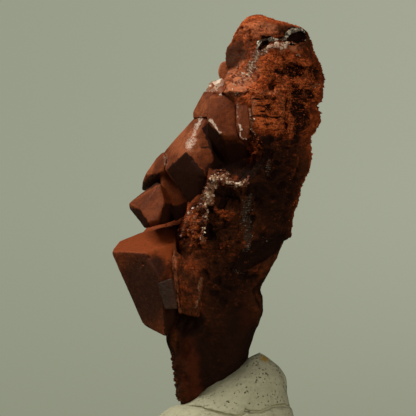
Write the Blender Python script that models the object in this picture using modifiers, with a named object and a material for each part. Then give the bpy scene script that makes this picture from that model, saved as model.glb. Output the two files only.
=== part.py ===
"""Calcite crystals on their rust-red matrix, standing in a lump of mounting putty.

The matrix is one rough stone, widest half way up and narrowing to a wedge-shaped foot. Blocky calcite
crystals grow from its left side, a crust of tiny ones lines the cleft under its top knob, and the foot
is pressed into the putty. Sizes are in millimetres until they reach a mesh. The origin is the middle
of the putty's flat underside, +Z is up and the rough side of the stone faces -Y.
"""

import math
from itertools import product

import bmesh
import bpy
import numpy as np
from mathutils import Vector

MM = 0.001
CLEARANCE = 0.42            # left between the stone and what grows on it or holds it
OBJECT_NAME = "calcite_on_matrix"

# The stone: its edges by height, as (height, distance).
STONE_LEFT = (
    (4.9, -6.7), (6.0, -7.1), (7.8, -7.8), (10.1, -8.1), (12.9, -8.7), (16.9, -9.5), (19.4, -8.8),
    (22.5, -8.0), (31.8, -8.2), (34.3, -7.4), (38.0, -5.9), (41.1, -5.0), (44.2, -3.9), (47.3, -3.1),
    (50.4, -2.6), (54.6, -3.0), (56.1, -2.2), (57.1, -0.5), (58.9, -0.5), (61.2, -0.3), (62.6, 0.5),
    (64.2, 1.2), (65.6, 2.2), (66.5, 3.2), (66.8, 4.4),
)
STONE_RIGHT = (
    (4.9, -6.6), (5.6, -5.4), (7.6, -3.0), (8.9, -1.0), (10.6, 1.6), (12.2, 2.9), (15.3, 3.4),
    (17.2, 4.0), (19.1, 4.7), (20.9, 5.1), (22.8, 5.0), (23.9, 4.8), (25.6, 5.7), (27.4, 6.6),
    (28.4, 7.1), (30.2, 7.9), (31.4, 8.4), (32.0, 9.5), (34.9, 10.1), (36.7, 10.5), (38.0, 11.1),
    (41.2, 11.7), (42.4, 12.5), (46.0, 13.0), (47.8, 13.0), (48.4, 13.6), (49.8, 14.2), (51.4, 14.3),
    (52.4, 13.7), (53.5, 14.6), (56.0, 14.7), (58.1, 14.7), (59.7, 14.1), (61.2, 13.3), (62.8, 12.6),
    (64.6, 11.6), (65.6, 9.6), (66.2, 7.6), (66.6, 6.2), (66.8, 4.5),
)
STONE_FRONT = (
    (4.9, 1.0), (8.0, 3.4), (12.0, 5.0), (18.0, 6.6), (25.0, 8.6), (32.0, 10.8), (38.0, 12.8), (41.5, 13.5),
    (46.0, 12.8), (52.0, 11.8), (57.0, 10.4), (61.0, 8.6), (64.5, 6.2), (66.2, 3.0), (66.8, 0.6),
)
STONE_BACK = (
    (4.9, 1.0), (8.0, 3.6), (12.0, 5.2), (18.0, 7.6), (25.0, 10.0), (32.0, 12.0), (38.0, 13.2), (46.0, 13.6),
    (52.0, 12.6), (57.0, 11.0), (61.0, 8.8), (64.5, 6.2), (66.2, 3.0), (66.8, 0.6),
)
STONE_SQUARENESS = 2.7      # 2 gives oval sections, more gives boxier ones
STONE_GRID = (52, 46)       # columns round it, rows up it
STONE_FRONT_SHARE = 0.3     # how much closer its columns stand on the front than on average
STONE_CROWDING = 0.55       # how much closer its rows stand at the foot and the top
FRONT_FADE = (0.2, 0.8)     # how far forward a point faces where the front's forms begin and are whole
SIDE_FADE = (0.75, 1.0)     # the same for the right side's forms
CRAG = 0.75                 # height of the stone's lumps
CRAG_SIZE = 5.0             # breadth of the stone's lumps
FINE_CRAG = 0.4             # size and height of its smaller lumps against the large ones
EDGE_CRAG = 0.35            # share of the lumps' height that shows on its left and right edges

# Forms on the stone's rough front, as (middle x, middle z, half width, half height, lean, rise).
# The lean turns the form anticlockwise, in degrees, and a negative rise is a hollow.
FRONT_FORMS = (
    (5.4, 64.4, 4.4, 2.2, -10, 1.5),     # the knob
    (9.9, 63.0, 1.5, 1.1, 25, -3.2),     # the cleft's open end, under the knob
    (5.4, 61.7, 1.0, 0.5, 40, -2.0),     # the cleft's slot
    (7.5, 62.2, 3.2, 0.5, 8, -1.0),      # the cleft between them
    (12.4, 58.6, 1.8, 1.2, -30, 1.0),    # shoulder lump below the cleft
    (2.6, 56.6, 1.6, 2.4, -35, -1.2),    # pale hollow below the knob's left face
    (11.8, 55.8, 2.2, 1.2, 0, -1.2),     # upper dark hollow
    (5.6, 51.6, 2.7, 2.7, 0, -0.8),      # sunken square panel
    (9.2, 51.9, 0.6, 2.8, 4, 0.7),       # the panel's right rim
    (12.0, 51.2, 1.9, 1.8, 20, -1.4),    # lower dark hollow
    (8.2, 48.3, 2.4, 0.8, 5, -1.4),      # hollow under the panel
    (0.8, 44.0, 3.2, 2.6, 20, -5.4),     # deep hollow under the upper crystals
    (-1.4, 49.4, 3.2, 4.4, -8, -3.6),    # seat of the upper crystals
    (-1.3, 41.7, 1.7, 1.1, 12, 2.1),     # druse ridge, the part that stands highest
    (1.7, 40.7, 1.6, 0.8, 4, 1.5),       # druse ridge, its right arm
    (-3.7, 36.4, 0.6, 3.4, -6, 1.1),     # druse ridge, the arm that runs down
    (-0.6, 38.2, 1.8, 1.4, 0, -1.3),     # rusty hollow inside the ridge
    (-4.6, 31.8, 1.3, 1.3, 0, 1.1),      # round knot
    (-2.9, 32.8, 0.6, 0.8, 0, -1.0),     # hole beside the knot
    (3.0, 34.0, 0.7, 4.6, 3, -0.6),      # long vein
    (5.2, 29.7, 3.4, 0.8, 29, -1.4),     # diagonal undercut
    (-6.0, 19.2, 1.8, 1.3, 20, -1.3),    # recess below the step crystal
    (-5.0, 14.0, 1.6, 4.6, 6, 0.7),      # swelling down the foot's left side
)

# Forms on the stone's right side, as (middle y, middle z, half depth, half height, lean, rise).
RIGHT_FORMS = (
    (-0.5, 52.3, 3.6, 0.8, 24, -0.6),    # notch
    (0.5, 50.6, 3.6, 1.2, 28, 0.25),     # lump under the notch
    (1.0, 47.6, 4.4, 1.0, -20, -0.3),    # step under the lump
    (5.5, 56.0, 3.0, 2.6, 0, 0.9),       # rear shoulder
    (6.0, 41.0, 3.4, 2.4, 25, -1.1),     # rear hollow
    (-1.5, 25.0, 4.0, 1.2, 10, -0.5),    # waist
    (0.0, 62.4, 3.0, 1.0, -6, -0.5),     # saddle beside the knob
)

# The knob's left face is one clean break: a plane that cuts the front back towards the left.
BREAK_EDGE_X = 4.1
BREAK_EDGE_Y = -8.4
BREAK_SLOPE = 1.85          # how far the break falls back for each millimetre to the left
BREAK_FOOT = 57.0           # the height where its lower edge meets the left side
BREAK_FOOT_SLOPE = 0.9
BREAK_RUN_OUT = 5.0         # how far the plane comes forward for each millimetre below that edge
BREAK_LIMIT = 0.25          # it never cuts deeper than this share of the front's depth

# Crystals, each the convex block around its corners (x, y, z).
SIDE_BLOCK = (
    (-3.7, -3.5, 54.7), (-2.5, -5.0, 54.6), (-5.4, -2.5, 51.6), (-5.4, -2.5, 50.5), (-3.1, -7.0, 50.7),
    (-2.3, -7.5, 51.6), (-3.7, 6.0, 54.7), (-2.2, 6.0, 54.7), (-5.3, 5.0, 51.5), (-5.1, 5.0, 50.5),
    (-2.2, 5.0, 50.4), (0.0, -4.0, 54.0), (0.0, 4.0, 51.0),
)
BROAD_BLOCK = (
    (-2.8, -7.5, 53.9), (-0.9, -7.0, 54.6), (1.1, -8.8, 53.8), (1.6, -11.8, 47.4), (-1.2, -11.6, 48.0),
    (-3.3, -10.2, 50.2), (-3.4, -5.0, 46.3), (-2.0, -4.5, 44.0), (0.0, -5.0, 42.3), (2.8, -7.0, 43.4),
    (3.4, -9.0, 45.7), (-3.1, 2.0, 53.9), (1.9, 2.0, 53.9), (-3.4, 2.0, 46.3), (2.8, 2.0, 43.4),
)
NARROW_BLOCK = (
    (1.3, -10.0, 53.9), (2.8, -10.9, 54.2), (3.3, -13.0, 48.8), (2.8, -13.0, 47.0), (1.9, -12.7, 47.1),
    (1.2, -12.2, 49.3), (1.2, -6.0, 54.1), (3.1, -6.0, 54.1), (1.2, -6.0, 47.3), (3.4, -6.0, 47.3),
)
SLOPING_BLOCK = (
    (-5.3, 2.0, 50.7), (-4.7, -3.6, 50.8), (-3.2, -5.4, 50.9), (-3.4, -6.9, 46.5), (-4.3, -7.9, 45.6),
    (-6.4, -8.0, 45.4), (-9.8, -4.0, 42.6), (-10.1, 3.9, 45.4), (-2.3, -8.0, 45.6), (-2.2, -8.6, 44.0),
    (-4.2, -9.2, 41.7), (-3.5, -8.4, 40.0), (-3.9, -7.2, 38.0), (-5.6, -5.4, 37.0), (-9.0, 3.0, 41.7),
    (-5.6, 2.0, 37.2), (-3.1, 1.0, 38.0), (-2.2, 1.0, 44.2), (-3.1, 3.0, 50.5), (-5.1, 6.0, 50.5),
    (-9.8, 7.0, 45.3),
)
SHOULDER_BLOCK = (
    (-10.1, 2.0, 45.4), (-11.3, 2.5, 44.3), (-12.9, 3.5, 42.0), (-13.3, 5.0, 40.9), (-13.5, 7.2, 39.5),
    (-10.5, -2.5, 42.3), (-9.6, -3.0, 44.2), (-9.6, -3.0, 42.3), (-10.5, 3.0, 40.6), (-12.7, 7.5, 39.4),
    (-10.1, 9.0, 45.4), (-13.2, 10.0, 40.8), (-13.3, 10.0, 39.4), (-9.8, 8.0, 39.5), (-5.9, 8.0, 44.2),
    (-5.9, 6.0, 40.3), (-9.6, 2.0, 40.3),
)
INNER_BLOCK = (
    (-10.4, -1.5, 43.4), (-7.8, -2.2, 43.4), (-10.4, -0.5, 38.1), (-9.9, -1.0, 37.7), (-8.1, -1.6, 34.6),
    (-6.5, -2.2, 35.5), (-4.8, -2.6, 36.7), (-5.0, -2.6, 41.1), (-10.4, 6.0, 43.4), (-10.4, 6.0, 38.1),
    (-8.1, 4.0, 34.6), (-4.8, 6.0, 37.0), (-4.8, 6.0, 43.4),
)
POINTED_BLOCK = (
    (-15.4, 1.0, 37.5), (-15.3, 0.6, 36.5), (-11.0, 2.0, 40.8), (-10.5, -3.0, 40.5), (-9.8, -5.5, 37.5),
    (-10.8, -7.0, 34.9), (-12.1, -6.8, 34.4), (-13.6, -4.5, 36.7), (-12.9, -3.2, 33.5), (-9.6, -4.0, 34.3),
    (-9.0, -3.0, 37.2), (-12.1, 5.0, 33.8), (-15.2, 5.0, 37.0), (-11.0, 7.0, 40.8), (-7.8, 6.0, 38.0),
    (-7.8, 6.0, 34.9),
)
GREAT_BLOCK = (
    (-18.1, -1.0, 29.9), (-17.1, 4.7, 32.1), (-12.7, 6.0, 33.4), (-9.8, 6.0, 34.0), (-7.8, 5.0, 34.2),
    (-15.5, -4.5, 30.1), (-12.6, -7.5, 30.0), (-10.5, -9.5, 25.7), (-8.8, -7.8, 28.1), (-8.2, -5.6, 31.4),
    (-9.9, -8.7, 22.0), (-9.6, -6.8, 16.8), (-13.1, -3.0, 18.5), (-11.3, -4.0, 17.0), (-17.8, 2.0, 29.6),
    (-15.2, 8.0, 28.4), (-12.6, 4.0, 19.1), (-9.3, 3.0, 17.2), (-7.8, 8.0, 33.9), (-7.1, 5.0, 17.8),
    (-7.1, -5.0, 22.5),
)
GREY_BLOCK = (
    (-10.8, -10.0, 25.2), (-8.7, -10.3, 26.0), (-7.8, -9.8, 21.3), (-9.7, -9.9, 21.2), (-10.5, -5.0, 25.0),
    (-8.1, -5.0, 25.6), (-7.8, -5.0, 21.4), (-9.8, -5.0, 21.7),
)
STEP_BLOCK = (
    (-8.3, -7.4, 28.6), (-7.7, -7.2, 29.8), (-7.3, -7.4, 20.6), (-5.0, -8.3, 20.0), (-4.6, -8.8, 23.1),
    (-4.1, -9.1, 25.2), (-3.6, -8.6, 26.2), (-7.2, -8.1, 27.9), (-8.1, -3.0, 30.0), (-7.3, -3.0, 20.6),
    (-3.8, -5.0, 20.0), (-3.3, -5.0, 26.4),
)
REAR_LOWER_BLOCK = (
    (-14.6, 6.5, 31.4), (-13.4, 11.5, 31.6), (-12.4, 9.0, 34.1), (-7.0, 12.2, 35.4), (-7.2, 5.0, 34.2),
    (-12.6, 6.0, 24.4), (-11.6, 10.4, 23.6), (-6.0, 10.0, 23.0), (-7.0, 5.0, 22.6),
)
REAR_UPPER_BLOCK = (
    (-8.6, 5.4, 46.8), (-7.6, 11.4, 45.8), (-3.2, 12.6, 49.4), (-2.6, 5.0, 51.2), (-10.4, 7.4, 40.6),
    (-9.2, 12.0, 39.4), (-4.0, 12.0, 38.4), (-4.8, 5.0, 37.2),
)
FAR_CRYSTAL = (
    (-1.6, 3.5, 58.1), (-1.2, 3.5, 59.2), (-0.5, 4.0, 59.7), (0.3, 5.0, 59.4), (-1.4, 3.5, 57.2),
    (-0.9, 4.0, 56.6), (0.0, 5.0, 56.6), (-1.6, 6.5, 58.1), (-1.2, 7.5, 59.4), (-0.3, 7.0, 59.8),
    (0.3, 8.0, 59.1), (-1.4, 7.0, 57.0), (-0.3, 7.0, 56.4), (1.6, 6.0, 58.2),
)
WORN_EDGE = 0.22            # width of the crystals' worn edges

# The crust of tiny crystals follows the rim of the cleft, as (x, z) points. It is open at the slot's foot.
CLEFT_RIM = (
    (4.5, 59.8), (4.2, 61.5), (5.1, 62.5), (6.6, 62.9), (8.0, 62.8), (9.0, 63.4), (9.8, 64.3),
    (11.0, 64.5), (11.9, 63.6), (12.0, 62.5), (11.2, 61.7), (10.0, 61.4), (8.8, 61.4), (7.6, 61.2),
    (6.5, 61.1), (5.7, 60.2),
)
CRUST_RADIUS = 0.5
CRUST_LIFT = 0.68           # how far its middle stands in front of the stone
CRUST_STEPS = 50
CRUST_SIDES = 6
CRUST_ROUGHNESS = 0.32      # how far single crystals stand above or below the crust's mean radius

# The putty.
PUTTY_LEFT = (
    (0.0, -11.6), (1.6, -12.7), (3.1, -12.4), (4.5, -10.7), (5.7, -8.9), (6.6, -6.4), (7.6, -4.9),
    (9.6, -3.0), (10.9, -0.9), (12.5, 1.7), (13.6, 3.2), (14.3, 4.8),
)
PUTTY_RIGHT = (
    (0.0, 11.4), (1.6, 12.4), (3.1, 11.3), (4.5, 10.2), (6.2, 9.6), (8.2, 9.1), (10.1, 8.8), (11.9, 7.9),
    (13.2, 6.5), (14.0, 5.5), (14.3, 5.0),
)
PUTTY_FRONT = (
    (0.0, 10.0), (1.6, 10.9), (3.1, 10.5), (6.0, 8.6), (9.0, 7.2), (12.0, 4.8), (13.6, 2.4), (14.3, 0.4),
)
PUTTY_BACK = (
    (0.0, 10.0), (1.6, 11.2), (3.1, 10.9), (6.0, 9.6), (9.0, 8.4), (12.0, 5.6), (13.6, 2.6), (14.3, 0.4),
)
PUTTY_SQUARENESS = 2.15
PUTTY_GRID = (28, 16)
PUTTY_CROWDING = 0.5
PUTTY_BELOW = 2.0           # how far its mould reaches below the flat underside it is cut to
PUTTY_DENT = 0.35           # depth of the thumb marks
PUTTY_DENT_SIZE = 6.0


def glide(table, height):
    """Smooth curve through (height, distance) points: cubic pieces whose slopes never overshoot."""
    at, value = np.array(table).T
    step = np.diff(value) / np.diff(at)
    same_way = step[:-1] * step[1:] > 0
    total = np.where(same_way, step[:-1] + step[1:], 1.0)
    inner = np.where(same_way, 2 * step[:-1] * step[1:] / total, 0.0)
    slope = np.concatenate((step[:1], inner, step[-1:]))
    height = np.clip(height, at[0], at[-1])
    i = np.clip(np.searchsorted(at, height, side="right") - 1, 0, len(at) - 2)
    width = at[i + 1] - at[i]
    t = (height - at[i]) / width
    return (
        value[i] * (1 + 2 * t) * (1 - t) ** 2
        + value[i + 1] * t**2 * (3 - 2 * t)
        + width * t * (1 - t) * (slope[i] * (1 - t) - slope[i + 1] * t)
    )


def lumps(points, size, seed):
    """Gradient noise, about -1 to 1: a random slope at each corner of a cubic lattice, blended smoothly."""
    slopes = np.random.default_rng(seed).normal(size=(256, 3))
    slopes /= np.linalg.norm(slopes, axis=1, keepdims=True)
    cell = np.floor(points / size).astype(int)
    inside = points / size - cell
    ease = inside**3 * (inside * (inside * 6 - 15) + 10)
    total = np.zeros(len(points))
    for corner in product((0, 1), repeat=3):
        lattice = cell + corner
        pick = (lattice[:, 0] * 73 + lattice[:, 1] * 157 + lattice[:, 2] * 211) % 256
        weight = np.prod(np.where(corner, ease, 1 - ease), axis=1)
        total += weight * np.sum(slopes[pick] * (inside - corner), axis=1)
    return 1.6 * total


def smooth_step(value, low, high):
    t = np.clip((value - low) / (high - low), 0, 1)
    return t * t * (3 - 2 * t)


def relief(forms, side, height):
    """Rise at (side, height): the sum of these forms, each a soft-edged ellipse."""
    rise = np.zeros(len(height))
    for middle, middle_height, half_width, half_height, lean, form_rise in forms:
        turn = math.radians(lean)
        along = (side - middle) * math.cos(turn) + (height - middle_height) * math.sin(turn)
        across = (height - middle_height) * math.cos(turn) - (side - middle) * math.sin(turn)
        reach = np.hypot(along / half_width, across / half_height)
        rise += form_rise * (1 - smooth_step(reach, 0.4, 1.5))
    return rise


def break_plane(x, z):
    """The depth of the knob's left break at (x, z). Below its lower edge it runs out of the stone."""
    below = np.maximum(BREAK_FOOT + BREAK_FOOT_SLOPE * x - z, 0)
    return BREAK_EDGE_Y + BREAK_SLOPE * (BREAK_EDGE_X - x) - BREAK_RUN_OUT * below


def section(across, along, squareness):
    """A unit circle's points, pushed out towards its square."""
    grow = (np.abs(across) ** squareness + np.abs(along) ** squareness) ** (-1 / squareness)
    return across * grow, along * grow


def stone_points(across, along, height):
    """Points of the stone for a direction (across, along) seen from above and a height."""
    left, right = glide(STONE_LEFT, height), glide(STONE_RIGHT, height)
    wide, deep = section(across, along, STONE_SQUARENESS)
    depth = np.where(deep < 0, glide(STONE_FRONT, height), glide(STONE_BACK, height))
    x = (left + right) / 2 + (right - left) / 2 * wide
    y = depth * deep
    x = x + relief(RIGHT_FORMS, y, height) * smooth_step(wide, *SIDE_FADE)
    forward = smooth_step(-deep, *FRONT_FADE)
    y = y - relief(FRONT_FORMS, x, height) * forward
    y = np.where(deep < 0, np.maximum(y, np.minimum(break_plane(x, height), BREAK_LIMIT * y)), y)
    points = np.column_stack((x, y, height))
    slack = smooth_step(depth, 0.6, 4.0) * smooth_step(right - left, 1.0, 6.0)
    crag = CRAG * (lumps(points, CRAG_SIZE, 7) + FINE_CRAG * lumps(points, FINE_CRAG * CRAG_SIZE, 8))
    off_edge = smooth_step(np.abs(deep), 0.15, 0.6)
    points[:, 0] += crag * wide * slack * (EDGE_CRAG + (1 - EDGE_CRAG) * off_edge)
    points[:, 1] += crag * deep * slack
    return points


def stone_front(x, height):
    """The depth of the stone's front at (x, height): read off a fine section at that height."""
    turn = np.linspace(-np.pi, 0, 181)
    ring = stone_points(np.cos(turn), np.sin(turn), np.full(181, height))
    return np.interp(x, ring[:, 0], ring[:, 1])


def putty_points(across, along, height):
    """Points of the putty for a direction (across, along) seen from above and a height."""
    left, right = glide(PUTTY_LEFT, height), glide(PUTTY_RIGHT, height)
    wide, deep = section(across, along, PUTTY_SQUARENESS)
    x = (left + right) / 2 + (right - left) / 2 * wide
    y = np.where(deep < 0, glide(PUTTY_FRONT, height), glide(PUTTY_BACK, height)) * deep
    points = np.column_stack((x, y, height))
    dent = PUTTY_DENT * lumps(points, PUTTY_DENT_SIZE, 21) * smooth_step(height, 0.0, 2.0)
    points[:, 0] += dent * wide
    points[:, 1] += dent * deep
    return points


def material(name, colour, roughness):
    """A Principled material with one colour."""
    made = bpy.data.materials.new(name)
    made.use_nodes = True
    shader = made.node_tree.nodes["Principled BSDF"]
    shader.inputs["Base Color"].default_value = (*colour, 1)
    shader.inputs["Roughness"].default_value = roughness
    shader.inputs["Metallic"].default_value = 0
    made.diffuse_color = (*colour, 1)
    return made


def place(name, bm, collection, finish=None):
    """A new object from this bmesh, in millimetres."""
    bmesh.ops.scale(bm, vec=(MM, MM, MM), verts=bm.verts)
    mesh = bpy.data.meshes.new(name)
    bm.to_mesh(mesh)
    bm.free()
    made = bpy.data.objects.new(name, mesh)
    collection.objects.link(made)
    if finish:
        mesh.materials.append(finish)
    return made


def hide_as_cutter(cutter):
    cutter.hide_render = True
    cutter.display_type = "WIRE"


def moulded(grid, low, high, crowding, front_share, shape):
    """A UV sphere whose rows become heights from low to high and whose points follow shape."""
    bm = bmesh.new()
    bmesh.ops.create_uvsphere(bm, u_segments=grid[0], v_segments=grid[1], radius=1)
    ball = np.array([vert.co for vert in bm.verts])
    share = 1 - np.arccos(np.clip(ball[:, 2], -1, 1)) / np.pi
    share -= crowding * np.sin(2 * np.pi * share) / (2 * np.pi)
    turn = np.arctan2(ball[:, 1], ball[:, 0])
    turn -= front_share * np.cos(turn)
    points = shape(np.cos(turn), np.sin(turn), low + (high - low) * share)
    poles = np.abs(ball[:, 2]) > 0.99999
    points[poles, 1] = 0
    for vert, point in zip(bm.verts, points, strict=True):
        vert.co = point
    return bm


def make_stone(collection, finish):
    low, high = STONE_LEFT[0][0], STONE_LEFT[-1][0]
    bm = moulded(STONE_GRID, low, high, STONE_CROWDING, STONE_FRONT_SHARE, stone_points)
    stone = place("matrix", bm, collection, finish)
    stone.data.shade_smooth()
    return stone


def make_clearance(stone, cutters):
    """The stone, grown by the clearance: it is cut from all that touches the stone."""
    grown = stone.copy()
    grown.name = "matrix_clearance"
    cutters.objects.link(grown)
    grow = grown.modifiers.new("grow", "DISPLACE")
    grow.direction = "NORMAL"
    grow.mid_level = 0
    grow.strength = CLEARANCE * MM
    hide_as_cutter(grown)
    return grown


def cut(made, cutter, operation="DIFFERENCE"):
    boolean = made.modifiers.new(cutter.name, "BOOLEAN")
    boolean.operation = operation
    boolean.object = cutter
    boolean.solver = "EXACT"


def make_block(name, corners, collection, finish):
    """One crystal: the convex block around its corners, with worn edges."""
    bm = bmesh.new()
    for corner in corners:
        bm.verts.new(corner)
    hull = bmesh.ops.convex_hull(bm, input=bm.verts)
    loose = [vert for vert in hull["geom_interior"] if isinstance(vert, bmesh.types.BMVert)]
    bmesh.ops.delete(bm, geom=loose, context="VERTS")
    bmesh.ops.dissolve_limit(bm, angle_limit=math.radians(3), verts=bm.verts, edges=bm.edges)
    bmesh.ops.recalc_face_normals(bm, faces=bm.faces)
    block = place(name, bm, collection, finish)
    bevel = block.modifiers.new("worn edges", "BEVEL")
    bevel.width = WORN_EDGE * MM
    bevel.segments = 1
    bevel.limit_method = "ANGLE"
    bevel.angle_limit = math.radians(15)
    return block


def make_cluster(name, blocks, parts, cutters, clearance, finish):
    """Blocks grown together into one solid, cut clear of the stone they grow on."""
    cluster = make_block(name, blocks[0], parts, finish)
    for number, corners in enumerate(blocks[1:], start=2):
        block = make_block(f"{name}_{number}", corners, cutters, finish)
        hide_as_cutter(block)
        cut(cluster, block, "UNION")
    cut(cluster, clearance)
    return cluster


def even_path(points, steps):
    """Evenly spaced points along a line through these, with its corners rounded off."""
    points = np.array(points)
    run = np.concatenate(([0], np.cumsum(np.linalg.norm(np.diff(points, axis=0), axis=1))))
    at = np.linspace(0, run[-1], steps)
    path = np.column_stack([np.interp(at, run, column) for column in points.T])
    for _ in range(6):
        path[1:-1] = (path[:-2] + 2 * path[1:-1] + path[2:]) / 4
    return path


def make_crust(collection, clearance, finish):
    """A rough cord of fused tiny crystals along the rim of the cleft, cut clear of the stone."""
    x, z = even_path(CLEFT_RIM, CRUST_STEPS).T
    depth = np.array([stone_front(*at) for at in zip(x, z, strict=True)])
    for _ in range(8):
        depth[1:-1] = (depth[:-2] + 2 * depth[1:-1] + depth[2:]) / 4
    centre = np.column_stack((x, depth - CRUST_LIFT, z))
    ahead = np.gradient(centre, axis=0)
    ahead /= np.linalg.norm(ahead, axis=1, keepdims=True)
    out = np.cross(ahead, (0.0, 1.0, 0.0))
    out /= np.linalg.norm(out, axis=1, keepdims=True)
    up = np.cross(out, ahead)
    angle = 2 * np.pi * np.arange(CRUST_SIDES) / CRUST_SIDES
    swell = np.random.default_rng(5).uniform(-1, 1, (CRUST_STEPS, CRUST_SIDES))
    radius = (CRUST_RADIUS * (1 + CRUST_ROUGHNESS * swell))[:, :, None]
    ring = radius * (np.cos(angle)[None, :, None] * out[:, None] + np.sin(angle)[None, :, None] * up[:, None])
    bm = bmesh.new()
    verts = [[bm.verts.new(point) for point in row] for row in centre[:, None] + ring]
    for i, j in product(range(CRUST_STEPS - 1), range(CRUST_SIDES)):
        beside = (j + 1) % CRUST_SIDES
        bm.faces.new((verts[i][j], verts[i + 1][j], verts[i + 1][beside], verts[i][beside]))
    bm.faces.new(verts[0])
    bm.faces.new(verts[-1])
    bmesh.ops.recalc_face_normals(bm, faces=bm.faces)
    crust = place("cleft_druse", bm, collection, finish)
    cut(crust, clearance)
    return crust


def make_putty(collection, clearance, finish):
    """The putty: a pinched mound, cut flat underneath, with the socket that the stone's foot left in it."""
    bm = moulded(PUTTY_GRID, -PUTTY_BELOW, PUTTY_LEFT[-1][0], PUTTY_CROWDING, 0, putty_points)
    bottom = bmesh.ops.bisect_plane(
        bm, geom=[*bm.verts, *bm.edges, *bm.faces], plane_co=Vector((0, 0, 0)), plane_no=Vector((0, 0, 1)),
        clear_inner=True,
    )
    rim = [item for item in bottom["geom_cut"] if isinstance(item, bmesh.types.BMEdge)]
    bmesh.ops.holes_fill(bm, edges=rim, sides=0)
    bmesh.ops.recalc_face_normals(bm, faces=bm.faces)
    putty = place("putty", bm, collection, finish)
    cut(putty, clearance)
    putty.data.shade_smooth()
    return putty


def build():
    for old in list(bpy.data.objects):
        bpy.data.objects.remove(old, do_unlink=True)
    parts = bpy.data.collections.new(OBJECT_NAME)
    cutters = bpy.data.collections.new("cutters")
    bpy.context.scene.collection.children.link(parts)
    bpy.context.scene.collection.children.link(cutters)

    rust = material("rusty_stone", (0.22, 0.055, 0.02), 0.9)
    calcite = material("coated_calcite", (0.26, 0.085, 0.04), 0.45)
    druse = material("druse", (0.55, 0.38, 0.28), 0.4)
    putty = material("putty", (0.42, 0.4, 0.29), 0.75)

    stone = make_stone(parts, rust)
    clearance = make_clearance(stone, cutters)
    upper = (
        SLOPING_BLOCK, SHOULDER_BLOCK, INNER_BLOCK, SIDE_BLOCK, BROAD_BLOCK, NARROW_BLOCK, POINTED_BLOCK,
        REAR_UPPER_BLOCK,
    )
    make_cluster("upper_crystals", upper, parts, cutters, clearance, calcite)
    lower = (GREAT_BLOCK, GREY_BLOCK, STEP_BLOCK, REAR_LOWER_BLOCK)
    make_cluster("lower_crystals", lower, parts, cutters, clearance, calcite)
    make_cluster("far_crystal", (FAR_CRYSTAL,), parts, cutters, clearance, calcite)
    make_crust(parts, clearance, druse)
    make_putty(parts, clearance, putty)


build()
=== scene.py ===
"""Calcite crystals on rust-red matrix in a lump of mounting putty: its surfaces and its studio."""

import math
from itertools import combinations, product

import bpy
import numpy as np
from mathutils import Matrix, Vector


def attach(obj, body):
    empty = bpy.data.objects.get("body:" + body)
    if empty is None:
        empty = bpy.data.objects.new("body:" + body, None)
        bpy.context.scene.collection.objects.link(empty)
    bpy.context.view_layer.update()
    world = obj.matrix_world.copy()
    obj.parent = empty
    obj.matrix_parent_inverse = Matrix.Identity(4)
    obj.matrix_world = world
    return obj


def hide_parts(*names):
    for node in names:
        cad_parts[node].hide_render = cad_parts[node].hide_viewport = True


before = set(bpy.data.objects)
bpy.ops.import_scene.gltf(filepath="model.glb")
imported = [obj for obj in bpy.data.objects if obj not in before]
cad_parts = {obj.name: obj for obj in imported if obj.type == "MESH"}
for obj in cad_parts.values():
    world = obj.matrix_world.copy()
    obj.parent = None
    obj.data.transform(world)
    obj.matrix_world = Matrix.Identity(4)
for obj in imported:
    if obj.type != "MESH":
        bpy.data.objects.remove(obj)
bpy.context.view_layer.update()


# ---- The matrix ----------------------------------------------------------------------------------
# One piece of iron-stained rock, broken from a larger vein. It is rough and granular above, where it
# weathered open, and smooth and nearly black towards its foot, a darkness partly its own and partly
# painted shade. Everything else grew on it.

MM = 0.001

# Its edges by height, as (height, distance) in millimetres.
STONE_LEFT = (
    (4.9, -6.7), (6, -7.1), (7.8, -7.8), (10.1, -8.1), (12.9, -8.7), (16.9, -9.5), (19.4, -8.8),
    (22.5, -8), (31.8, -8.2), (34.3, -7.4), (38, -5.9), (41.1, -5), (44.2, -3.9), (47.3, -3.1),
    (50.4, -2.6), (54.6, -3), (56.1, -2.2), (57.1, -0.5), (58.9, -0.5), (61.2, -0.3), (62.6, 0.5),
    (64.2, 1.2), (65.6, 2.2), (66.5, 3.2), (66.8, 4.4),
)
STONE_RIGHT = (
    (4.9, -6.6), (5.6, -5.4), (7.6, -3), (8.9, -1), (10.6, 1.6), (12.2, 2.9), (15.3, 3.6),
    (17.2, 4.2), (19.1, 4.9), (20.9, 5.3), (22.8, 5.2), (23.9, 5), (25.6, 5.9), (27.4, 6.8),
    (28.4, 7.3), (30.2, 8.1), (31.4, 8.6), (32, 9.5), (34.9, 10.1), (36.7, 10.5), (38, 11.1),
    (41.2, 11.7), (42.4, 12.5), (46, 13), (47.8, 13), (48.4, 13.6), (49.8, 14.2), (51.4, 14.3),
    (52.4, 13.7), (53.5, 14.6), (56, 14.7), (58.1, 14.6), (59.7, 13.9), (61.2, 13.4), (62.8, 12.8),
    (64.6, 11.5), (65.4, 9.2), (65.9, 7.4), (66.4, 5.8), (66.8, 4.5),
)
STONE_FRONT = (
    (4.9, 1), (8, 3.4), (12, 5), (18, 6.6), (25, 8.6), (32, 10.8), (38, 12.8), (41.5, 13.5),
    (46, 12.8), (52, 11.8), (57, 10.4), (61, 8.6), (64.5, 6.2), (66.2, 3), (66.8, 0.6),
)
STONE_BACK = (
    (4.9, 1), (8, 3.6), (12, 5.2), (18, 7.6), (25, 10), (32, 12), (38, 13.2), (46, 13.6),
    (52, 12.6), (57, 11), (61, 8.8), (64.5, 6.2), (66.2, 3), (66.8, 0.6),
)
STONE_SQUARENESS = 2.7
STONE_COLUMNS, STONE_ROWS = 300, 310
STONE_FRONT_SHARE = 0.55  # how much closer its columns stand in front
STONE_CROWDING = 0.5  # how much closer its rows stand at both ends

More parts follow.
